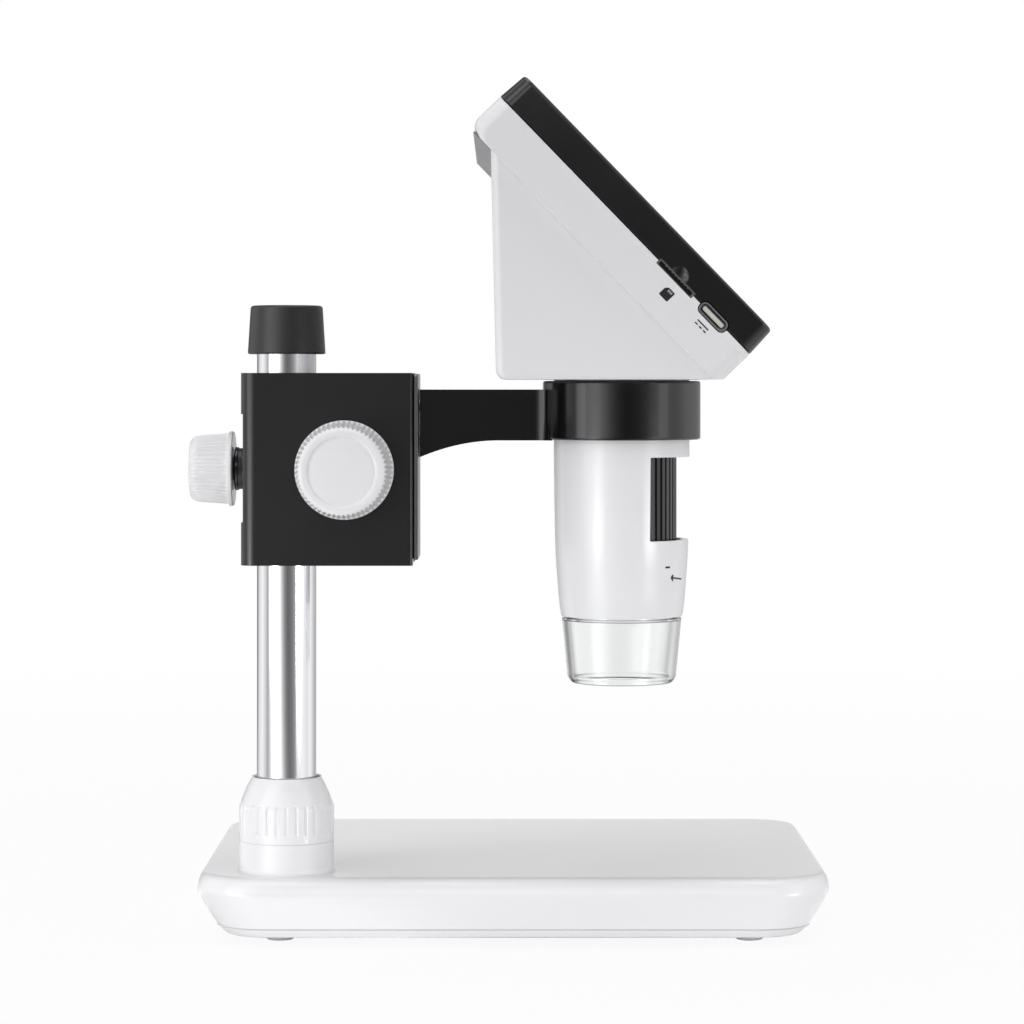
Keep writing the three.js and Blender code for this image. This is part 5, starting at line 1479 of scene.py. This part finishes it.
def rear_form(size, inset, floor):
    """Outer form of the white shell, or its hollow at the wall's inset, in the tube's frame."""
    ground = floor + inset
    slab, right = rear_slab(size, inset, ground)

    # the wedge between the slab and the tube, leaning back a little
    lean = 0.0236
    edge, corner = max(size.wedge_edge - inset, LEAST_ROUND), max(size.wedge_corner - inset, LEAST_ROUND)
    levels = [(ground + corner * climb, corner * (1 - run)) for run, climb in quarter(6)]
    levels.append((SCREEN_Z + size.slab_length / 2 * math.sin(SLOPE), 0))
    outlines = []
    for z, drawn in levels:
        left = inset + drawn - size.wedge_back - lean * (z - floor)
        half = size.wedge_half - inset - drawn / 2
        outlines.append((z, plan(left, right, -half, half, [LEAST_ROUND, edge, edge, LEAST_ROUND], 8)))
    sunk = inset - size.shell_depth + 0.3  # the wedge runs this far into the slab
    above = [on_slope(x, out) for x, out in ((-FAR, sunk), (FAR, sunk), (FAR, FAR), (-FAR, FAR))]
    wedge = cut(loft(outlines), bar_y(above, -FAR, FAR))
    return cut(slab, wedge, operation="UNION")


def on_side(size):
    """From a frame on the head's near side, X down the slope and Z outwards, to the screen's frame."""
    return shift(0, -size.slab_width / 2, 0) @ Matrix.Rotation(TURN / 4, 4, "X")


def side_openings(size):
    """Cutters for the card slot and for the power slot, in the screen's frame."""
    card = prism(plan(CARD_X - 6.3, CARD_X + 6.3, -0.9, 0.9, 0.3, 3), 0, 3)
    power = prism(plan(POWER_X - 4.75, POWER_X + 4.75, -1.85, 1.85, 1.7, 8), 0, 3)
    return [moved(opening, on_side(size), shift(z=-2)) for opening in (card, power)]


def nail_notch(size):
    """Cutter for the shallow dish beside the card slot that a finger nail reaches into."""
    dish = turned([(0, -1.2), (1.0, -1.1), (1.8, -0.8), (2.5, -0.35), (3.0, 0.3), (3.0, 1), (0, 1)], 64)
    return moved(dish, on_side(size), shift(CARD_X + 0.2, 0.9))


def rear_shell(size):
    """The white shell: hollow, with screw bosses and openings for the screws, the tube and the sockets."""
    floor = local_box("rear_shell")[0].z
    half, tilt = size.slab_length / 2, head_tilt()
    bosses, tunnels = [], []
    for x, y in CASE_SCREWS:
        bosses.append(moved(prism(circle(3.8, 40, x, y), -half, -0.5), tilt))
        tunnels.append(moved(prism(circle(2.6, 40, x, y), -half, CASE_SCREW_SEAT), tilt))
        tunnels.append(moved(prism(circle(1.3, 24, x, y), -half, OVER), tilt))
    hollow = cut(rear_form(size, CASE_WALL, floor), *bosses)
    tube_hole = prism(circle(18.55, 128), floor - OVER, floor + 3)
    sockets = [moved(opening, tilt) for opening in side_openings(size)]
    shell = eased(cut(rear_form(size, 0, floor), hollow, *tunnels, tube_hole, *sockets), 0.25, 50)
    piece(
        "rear_shell_moulding", moved(shell, shift(TUBE_X)), "head", "abs_white",
        stands_for=["rear_shell"], smooth=30,
    )


def front_bezel(size):
    """The black bezel: drawn in towards the screen, round at its front edge, open for the glass and keys."""
    depth, edge, draft, play = size.bezel_depth, size.bezel_edge, 0.45, 0.3
    levels = [(0.3, slab_plan(size, 0.15)), (0.45, slab_plan(size, 0))]
    levels.append((depth - edge, slab_plan(size, draft)))
    for run, climb in quarter(6, 1):
        levels.append((depth - edge * (1 - run), slab_plan(size, draft + edge * climb)))
    floor, past = depth - CASE_WALL, depth + OVER
    pillars = [prism(circle(2.1, 32, x, y), -2, depth) for x, y in CASE_SCREWS]
    drills = [prism(circle(1.3, 24, x, y), -OVER, 5.6) for x, y in CASE_SCREWS]
    hollow = cut(prism(slab_plan(size, CASE_WALL), -OVER, floor), *pillars)
    x, y = size.glass_length / 2 + play, size.glass_width / 2 + play
    seat = prism(plan(GLASS_X - x, GLASS_X + x, -y, y, 2.3, 8), depth - 1.4, past)
    view = prism(plan(GLASS_X - 27.2, GLASS_X + 27.2, -47.8, 47.8, 0.3, 3), floor - OVER, past)
    x, y = size.key_length / 2 + play, size.key_width / 2 + play
    holes = []
    for row in KEY_ROW:
        holes.append(prism(plan(KEY_X - x, KEY_X + x, row - y, row + y, 1.85, 8), floor - OVER, past))
    body = cut(loft(levels), hollow, seat, view, *holes, *drills, *side_openings(size), nail_notch(size))
    body = moved(eased(body, 0.18, 50), head_place())
    piece(
        "front_bezel_moulding", body, "head", "abs_bezel",
        stands_for=["front_bezel"], smooth=30,
    )


def case_screws():
    """The four screws that hold the shell to the bezel, sunk in the shell."""
    for i, (x, y) in enumerate(CASE_SCREWS):
        name = f"case_screw_{i + 1}"
        made = moved(pan_screw(1, 8.4, 2.3, 1.5), head_place(), shift(x, y, CASE_SCREW_SEAT))
        piece(f"{name}_cross_recessed", made, "head", "steel_zinc", stands_for=[name])


def painted_shade_strip(size):
    """The grey strip across the slab's back, over the wedge: painted shade on the slab's back face, which
    faces down and away from the lamps.
    """
    inset, end, half = 1.3, size.slab_length / 2, size.slab_width / 2
    strip = plan(size.back_round * 0.5 - end, 7.9 - end, inset - half, half - inset, 0.5, 3)
    strip = moved(eased(prism(strip, -0.12, 0.3), 0.05, 50), head_place(), shift(z=-size.shell_depth))
    # the strip is painted shade: a thin grey coat where the slab's back lies in shade
    piece("painted_shade_strip", strip, "head", "abs_grey")


def in_socket(size, x, sunk):
    """From a socket's frame, Z into the head from its mouth, to the pole's frame."""
    return head_place() @ shift(x, sunk - size.slab_width / 2, 0) @ Matrix.Rotation(-TURN / 4, 4, "X")


def card_socket(size):
    """The memory card socket: a folded case, a liner in it, and eight contacts."""
    case = prism(plan(-6.3, 6.3, -2.5, 0.9, 0.2, 2), 0, 14)
    mouth = prism(plan(-5.7, 5.7, -0.55, 0.55, 0.15, 2), -OVER, 11)
    liner = prism(plan(-5.65, 5.65, -0.5, 0.5, 0.1, 2), 0.9, 10.9)
    parts = [(cut(case, mouth), 0), (liner, 2)]
    for k in range(8):
        x = 1.1 * k - 3.85
        parts.append((prism(rectangle(x - 0.22, x + 0.22, -0.56, -0.42), 0.6, 4), 1))
    piece(
        "card_socket_folded", moved(together(*parts), in_socket(size, CARD_X, 2.3)), "head",
        ["tinplate", "brass", "abs_bezel"], stands_for=["card_socket"],
    )


def power_socket(size):
    """The power socket: a drawn shell, a tongue in it, and nine contacts on the tongue."""
    shell = prism(plan(-4.45, 4.45, -1.55, 1.55, 1.4, 10), 0, 7.3)
    mouth = prism(plan(-4.1, 4.1, -1.2, 1.2, 1.15, 10), -OVER, 6.6)
    tongue = prism(plan(-3.45, 3.45, -0.55, 0.55, 0.4, 5), 0.7, 7)
    parts = [(cut(shell, mouth), 0), (tongue, 2)]
    for k in range(9):
        x = 0.6 * k - 2.4
        parts.append((prism(rectangle(x - 0.16, x + 0.16, 0.54, 0.6), 1.4, 5), 1))
    piece(
        "power_socket_folded", moved(together(*parts), in_socket(size, POWER_X, 0.4)), "head",
        ["tinplate", "brass", "nylon"], stands_for=["power_socket"],
    )


class MICROSCOPE_OT_head(bpy.types.Operator):
    """Builds the head: white rear shell with its wedge, black bezel, screws and the sockets in its side"""

    bl_idname = "microscope.head"
    bl_label = "Head"

    def execute(self, context):
        size = in_mm(context.scene.microscope_head)
        rear_shell(size)
        front_bezel(size)
        case_screws()
        # a grey strip of painted shade on the slab's back, over the wedge
        painted_shade_strip(size)
        card_socket(size)
        power_socket(size)
        return {"FINISHED"}


def screen_glass(size):
    """The glass over the screen, with a fine bevel, and the display's area as a second material."""
    top, x, y = size.bezel_depth, size.glass_length / 2, size.glass_width / 2
    rim, bevel = 0.06, 0.2
    levels = []
    for z, inset in ((top - 1.1, 0), (top - bevel, 0), (top - rim, rim), (top, bevel)):
        outline = plan(GLASS_X - x + inset, GLASS_X + x - inset, inset - y, y - inset, 2 - inset, 8)
        levels.append((z, outline))
    levels.append((top, plan(GLASS_X - 26.6, GLASS_X + 26.6, -47.2, 47.2, 0.4, 8)))
    plate = loft(levels)
    for polygon in plate.polygons:
        if polygon.normal.z > 0.99 and polygon.area > 100 and len(polygon.vertices) > 4:
            polygon.material_index = 1
    piece(
        "screen_glass_plate", moved(plate, head_place()), "head",
        ["glass_ink", "glass_display"], stands_for=["screen_glass"],
    )


def key_cap(size):
    """A key's cap: a flange under the bezel, and a body with a rounded top."""
    x, y, corner, flange = size.key_length / 2, size.key_width / 2, 1.6, 1
    top, turn, crown = size.bezel_depth + 0.9, 0.5, 0.45
    low, high = size.bezel_depth - 3.3, size.bezel_depth - 2.3
    shoulder = top - 0.55
    foot = plan(-x - flange, x + flange, -y - flange, y + flange, 0.4, 8)
    body = plan(-x, x, -y, y, corner, 8)
    levels = [(low, foot), (high, foot), (high, body), (shoulder, body)]
    for run, climb in quarter(5, 1):
        a, b = x - turn * climb, y - turn * climb
        levels.append((shoulder + crown * run, plan(-a, a, -b, b, corner - turn * climb, 8)))
    a, b = x - 1.2, y - 1.2
    levels.append((top - 0.03, plan(-a, a, -b, b, 0.6, 8)))
    return loft(levels)


def keys(size):
    """The six keys with their printed signs."""
    for i, (y, sign) in enumerate(zip(KEY_ROW, key_signs())):
        mark = moved(together(*sign), shift(z=size.bezel_depth + 0.86))
        key = moved(together((key_cap(size), 0), (mark, 1)), head_place(), shift(KEY_X, y))
        piece(
            f"key_{i + 1}_cap", key, f"key_body_{i + 1}", ["abs_white", "ink_grey"],
            stands_for=[f"key_{i + 1}"],
        )


class MICROSCOPE_OT_screen(bpy.types.Operator):
    """Builds the screen glass and the six keys under it"""

    bl_idname = "microscope.screen"
    bl_label = "Screen and keys"

    def execute(self, context):
        size = in_mm(context.scene.microscope_head)
        screen_glass(size)
        keys(size)
        return {"FINISHED"}


# The printed signs


def bar(x0, x1, y0, y1):
    """A flat printed bar."""
    return prism(plan(x0, x1, y0, y1, min(x1 - x0, y1 - y0) * 0.12, 2), 0, INK_MM)


def dot(radius, count=24):
    """A flat printed dot, or a triangle or square with few corners."""
    return prism(circle(radius, count), 0, INK_MM)


def ring(radius, width):
    """A flat printed ring."""
    inner = radius - width
    return turned([(inner, 0), (radius, 0), (radius, INK_MM), (inner, INK_MM)], 48)


def arc(radius, width, start, end):
    """A flat printed arc, its start and end as shares of a turn."""
    steps = 32
    angles = [TURN * (start + (end - start) * k / steps) for k in range(steps + 1)]
    outer = [(radius * math.cos(a), radius * math.sin(a)) for a in angles]
    inner = [((radius - width) * math.cos(a), (radius - width) * math.sin(a)) for a in angles]
    return prism([*outer, *reversed(inner)], 0, INK_MM)


def key_signs():
    """The signs of the six keys, from left to right, each as its flat parts."""
    around = Matrix.Rotation(TURN / 2, 4, "Z")
    return [
        [arc(1.2, 0.3, 0.6, 1.4), bar(-1.5, -0.1, -0.15, 0.15)],  # power
        [bar(-1.1, -0.8, -1.2, 1.2), bar(-0.15, 0.15, -1.2, 1.2), bar(0.8, 1.1, -1.2, 1.2)],  # menu
        [moved(dot(1.3, 3), around)],  # up
        [dot(1.3, 3)],  # down
        [ring(1.25, 0.28), dot(0.55)],  # take a picture
        [moved(dot(0.8, 3), shift(0, 0.9)), moved(dot(0.8, 3), shift(0, -0.9))],  # mode
    ]


def card_sign(place):
    """A memory card with one clipped corner and its contacts left bare."""
    half, clip = 1.45, 0.75
    outline = [(-half, -half), (half, -half), (half, half), (clip - half, half), (-half, half - clip)]
    card = prism(rounded(outline, 0.25, 3), -0.02, INK_MM)
    slits = [prism(rectangle(x, x + 0.25, 0.5, 1.15), -OVER, OVER) for x in (-0.35, 0.15, 0.65)]
    sign = moved(cut(card, *slits), place, shift(*CARD_MARK))
    piece("card_sign", sign, "head", "ink_black")


def direct_current_sign(place):
    """The generic sign for direct current: one long bar over three short ones."""
    parts = [bar(-1.9, 1.9, 0.3, 0.62)] + [bar(x - 0.45, x + 0.45, -0.62, -0.3) for x in (-1.45, 0, 1.45)]
    sign = moved(together(*parts), place, shift(*POWER_MARK))
    piece("direct_current_sign", sign, "head", "ink_black")


def on_tube(points, width):
    """A printed line on the tube through points given as (degrees from +X, height)."""
    steps, sunk = 8, -0.05
    fine = []
    for (a0, z0), (a1, z1) in zip(points, points[1:]):
        fine += [(math.radians(a0 + (a1 - a0) * k / steps), z0 + (z1 - z0) * k / steps) for k in range(steps)]
    fine.append((math.radians(points[-1][0]), points[-1][1]))
    count = len(fine)
    upper, lower = [], []
    for i, (a, z) in enumerate(fine):
        (a0, z0), (a1, z1) = fine[max(i - 1, 0)], fine[min(i + 1, count - 1)]
        along = Vector(((a1 - a0) * TUBE_MARK_RADIUS, z1 - z0)).normalized() * width / 2
        upper.append((a - along.y / TUBE_MARK_RADIUS, z + along.x))
        lower.append((a + along.y / TUBE_MARK_RADIUS, z - along.x))
    corners = []
    for lift in (sunk, INK_MM):
        for a, z in upper + lower:
            r = tube_radius(z) + lift
            corners.append((r * math.cos(a), r * math.sin(a), z))
    faces = []
    for i in range(count - 1):
        for p, q in ((0, 1), (1, 3), (3, 2), (2, 0)):
            faces.append((p * count + i, p * count + i + 1, q * count + i + 1, q * count + i))
    faces += [tuple(end + row * count for row in (0, 1, 3, 2)) for end in (0, count - 1)]
    return mesh_of(corners, faces)


def focus_signs():
    """A minus and a plus under the window, each with an arrow along the way the wheel turns."""
    lines = [
        ([(-50.9, 100.0), (-45.4, 100.0)], 0.5),
        ([(-42.6, 97.2), (-26, 96.6)], 0.42),
        ([(-40.4, 97.9), (-42.8, 97.2), (-40.2, 96.3)], 0.5),
        ([(-41.2, 97.5), (-41.1, 96.8)], 0.6),
        ([(50.9, 100.0), (45.4, 100.0)], 0.5),
        ([(48.15, 99.2), (48.15, 100.8)], 0.5),
        ([(42.6, 97.2), (26, 96.6)], 0.42),
        ([(40.4, 97.9), (42.8, 97.2), (40.2, 96.3)], 0.5),
        ([(41.2, 97.5), (41.1, 96.8)], 0.6),
    ]
    signs = together(*[on_tube(points, width) for points, width in lines])
    piece("focus_signs", moved(signs, shift(TUBE_X)), "head", "ink_black")


class MICROSCOPE_OT_marks(bpy.types.Operator):
    """Prints the signs beside the sockets and the two arrows under the focus wheel's window"""

    bl_idname = "microscope.marks"
    bl_label = "Printed signs"

    def execute(self, context):
        place = head_place() @ on_side(in_mm(context.scene.microscope_head))
        card_sign(place)
        direct_current_sign(place)
        focus_signs()
        return {"FINISHED"}


# The studio


# Brightness of the light tent by compass angle in degrees, from the camera's side round to the right, as the
# pole's mirror bands show it in the photo: dark round the camera, a strong strip left of it, white sides
TENT_WALL = [
    (-180, 0.3), (-165, 0.2), (-145, 0.3), (-120, 1.1), (-100, 1.3), (-84, 0.9), (-74, 0.5), (-62, 1.0),
    (-52, 2.2), (-36, 2.5), (-26, 1.6), (-15, 0.7), (-5, 0.3), (5, 0.17), (20, 0.25), (35, 0.5),
    (45, 0.85), (57, 1.3), (85, 1.1), (105, 1.3), (135, 0.7), (155, 0.5), (180, 0.3),
]
TENT_PEAK = 2.5


def tent_wall(tree, parts):
    """Adds nodes that give the brightness of the tent's wall by the compass angle of a direction."""
    maths = "ShaderNodeMath"
    toward = node(tree, maths, {"operation": "MULTIPLY", 1: -1.0}, {0: (parts, "Y")})
    angle = node(tree, maths, {"operation": "ARCTAN2"}, {0: (parts, "X"), 1: (toward, 0)})
    share = node(tree, maths, {"operation": "MULTIPLY_ADD", 1: 1 / TURN, 2: 0.5}, {0: (angle, 0)})
    ramp = node(tree, "ShaderNodeValToRGB", None, {"Fac": (share, 0)})
    stops = ramp.color_ramp.elements
    for degrees, _ in TENT_WALL[1:-1]:
        stops.new(degrees / 360 + 0.5)
    for stop, (_, level) in zip(stops, TENT_WALL):
        stop.color = [level / TENT_PEAK] * 3 + [1]
    return node(tree, maths, {"operation": "MULTIPLY", 1: TENT_PEAK}, {0: (ramp, "Color")})


def tent(tree, coordinates):
    """Adds nodes for the tent's wall in the direction of the coordinates. They give the wall's brightness,
    the brightness that a ray sees there, white behind the object, and 1 for a ray that looks at it."""
    maths, larger = "ShaderNodeMath", {"operation": "MAXIMUM"}
    place = node(tree, "ShaderNodeTexCoord")
    unit = node(tree, "ShaderNodeVectorMath", {"operation": "NORMALIZE"}, {0: (place, coordinates)})
    parts = node(tree, "ShaderNodeSeparateXYZ", None, {0: (unit, "Vector")})
    wall = tent_wall(tree, parts)
    path = node(tree, "ShaderNodeLightPath")
    behind = node(tree, "ShaderNodeMapRange", {"From Min": 0.94, "From Max": 0.985}, {"Value": (parts, "Y")})
    bent = node(tree, maths, larger, {0: (path, "Is Glossy Ray"), 1: (path, "Is Transmission Ray")})
    looked_at = node(tree, maths, larger, {0: (path, "Is Camera Ray"), 1: (bent, 0)})
    through = node(tree, maths, {"operation": "MULTIPLY"}, {0: (bent, 0), 1: (behind, 0)})
    white = node(tree, maths, larger, {0: (path, "Is Camera Ray"), 1: (through, 0)})
    level = node(tree, "ShaderNodeMix", {"data_type": "FLOAT", 3: 1.0}, {0: (white, 0), 2: (wall, 0)})
    return wall, level, looked_at


def set_camera(scene, studio):
    """The camera: level from the side, with its frame shifted down to the object."""
    camera = bpy.data.cameras.new("camera")
    camera.sensor_width = 36
    camera.lens = studio.lens
    camera.shift_x, camera.shift_y = studio.shift_x, studio.shift_y
    camera.clip_start, camera.clip_end = 0.05, 20
    view = bpy.data.objects.new("camera", camera)
    view.location = (POLE_X * MM + studio.camera_x, POLE_Y * MM + studio.camera_y, studio.camera_z)
    view.rotation_euler = (TURN / 4, 0, 0)
    scene.collection.objects.link(view)
    scene.camera = view


def surroundings(scene, studio):
    """The tent round the object as the world."""
    world = bpy.data.worlds.new("surroundings")
    scene.world = world
    world.use_nodes = True
    tree = world.node_tree
    tree.nodes.clear()
    wall, level, looked_at = tent(tree, "Generated")
    lit = node(tree, "ShaderNodeMath", {"operation": "MULTIPLY", 1: studio.ambient}, {0: (wall, 0)})
    links = {0: (looked_at, 0), 2: (lit, 0), 3: (level, 0)}
    strength = node(tree, "ShaderNodeMix", {"data_type": "FLOAT"}, links)
    white = node(tree, "ShaderNodeBackground", {"Color": (1, 1, 1, 1)}, {"Strength": (strength, 0)})
    node(tree, "ShaderNodeOutputWorld", None, {"Surface": (white, 0)})


def sheet_material(studio):
    """Pale matt card: white to the camera, and it keeps the object's soft shadow."""
    sheet, shader = new_material("card_white_matt", linear("#f7f7f8"), 0.9)
    surface_detail(sheet, shader, grit_mm=2.0, depth_mm=0.01)
    tree = sheet.node_tree
    _, level, looked_at = tent(tree, "Object")
    glow = node(tree, "ShaderNodeEmission", {"Color": (1, 1, 1, 1)}, {"Strength": (level, 0)})
    place = node(tree, "ShaderNodeTexCoord")
    away = node(tree, "ShaderNodeVectorMath", {"operation": "LENGTH"}, {0: (place, "Object")})
    fade = {"From Min": 0.25, "From Max": 0.9, "To Min": studio.floor_white, "To Max": 1.0}
    plain = node(tree, "ShaderNodeMapRange", fade, {"Value": (away, "Value")})
    share = node(tree, "ShaderNodeMath", {"operation": "MULTIPLY"}, {0: (looked_at, 0), 1: (plain, "Result")})
    mixed = node(tree, "ShaderNodeMixShader", None, {0: (share, 0), 1: (shader, 0), 2: (glow, 0)})
    tree.links.new(mixed.outputs[0], tree.nodes["Material Output"].inputs["Surface"])
    return sheet


def bench(scene, studio):
    """The round sheet that the object stands on, with its upper face at height zero."""
    thick, radius = 2, 3000
    floor = bpy.data.objects.new("floor", loft([(-thick, circle(radius, 128)), (0, circle(radius, 128))]))
    floor.data.transform(Matrix.Scale(MM, 4))
    floor.data.materials.append(sheet_material(studio))
    scene.collection.objects.link(floor)


def softbox(name, place, size, energy, aim_height=0.11, spread=180):
    """A soft rectangular lamp that faces the object's middle, or another height on its axis."""
    lamp = bpy.data.lights.new(name, "AREA")
    lamp.shape, lamp.energy, lamp.spread = "RECTANGLE", energy, math.radians(spread)
    lamp.size, lamp.size_y = size
    made = bpy.data.objects.new(name, lamp)
    made.location = place
    made.rotation_euler = (Vector((0, 0, aim_height)) - Vector(place)).to_track_quat("-Z", "Y").to_euler()
    bpy.context.scene.collection.objects.link(made)


def softboxes(studio):
    """The lamps: four large ones, and two low narrow ones that light the base's edge."""
    low = {"aim_height": 0.01, "spread": 32}
    softbox("left_softbox", (-0.8, -0.45, 0.3), (0.25, 0.8), studio.left_power)
    softbox("right_softbox", (0.8, -0.45, 0.3), (0.25, 0.8), studio.right_power)
    softbox("top_softbox", (0.0, 0.0, 1.0), (0.6, 0.6), studio.top_power)
    softbox("front_softbox", (0.0, -1.2, 0.65), (0.8, 0.3), studio.front_power)
    softbox("low_softbox", (-0.5, -0.55, 0.04), (0.3, 0.06), studio.low_power, **low)
    softbox("low_right_softbox", (0.55, -0.5, 0.04), (0.3, 0.06), studio.low_power, **low)


class MICROSCOPE_OT_studio(bpy.types.Operator):
    """Sets up the floor, the soft lights, the white surroundings and the camera"""

    bl_idname = "microscope.studio"
    bl_label = "Studio"

    def execute(self, context):
        scene = context.scene
        studio = scene.microscope_studio
        set_camera(scene, studio)
        surroundings(scene, studio)
        bench(scene, studio)
        softboxes(studio)
        return {"FINISHED"}


# The sidebar, and the steps in their order


class MICROSCOPE_PT_panel(bpy.types.Panel):
    """Lists the steps that build the microscope, and the sizes and colours that they use"""

    bl_idname = "MICROSCOPE_PT_panel"
    bl_label = "LCD digital microscope"
    bl_space_type = "VIEW_3D"
    bl_region_type = "UI"
    bl_category = "Microscope"

    def draw(self, context):
        for step in STEPS:
            self.layout.operator(step.bl_idname)
        for group in GROUPS:
            box = self.layout.box()
            box.label(text=group.replace("microscope_", "").capitalize())
            values = getattr(context.scene, group)
            for key in settings_of(values):
                box.prop(values, key)


STEPS = [
    MICROSCOPE_OT_studio,
    MICROSCOPE_OT_finishes,
    MICROSCOPE_OT_base,
    MICROSCOPE_OT_pole,
    MICROSCOPE_OT_housing,
    MICROSCOPE_OT_slide,
    MICROSCOPE_OT_knobs,
    MICROSCOPE_OT_tube,
    MICROSCOPE_OT_lens,
    MICROSCOPE_OT_head,
    MICROSCOPE_OT_screen,
    MICROSCOPE_OT_marks,
]
GROUPS = {
    "microscope_finishes": MICROSCOPE_PG_finishes,
    "microscope_stand": MICROSCOPE_PG_stand,
    "microscope_slide": MICROSCOPE_PG_slide,
    "microscope_tube": MICROSCOPE_PG_tube,
    "microscope_head": MICROSCOPE_PG_head,
    "microscope_studio": MICROSCOPE_PG_studio,
}
CLASSES = [*GROUPS.values(), *STEPS, MICROSCOPE_PT_panel]


def register():
    """Registers the classes and hangs the property groups on the scene."""
    for one in CLASSES:
        bpy.utils.register_class(one)
    for name, group in GROUPS.items():
        setattr(bpy.types.Scene, name, PointerProperty(type=group))


def unregister():
    """Takes the property groups and the classes away again."""
    for name in GROUPS:
        delattr(bpy.types.Scene, name)
    for one in reversed(CLASSES):
        bpy.utils.unregister_class(one)


def main():
    """Builds everything in order."""
    register()
    for step in STEPS:
        group, name = step.bl_idname.split(".")
        getattr(getattr(bpy.ops, group), name)()


if __name__ == "__main__":
    main()
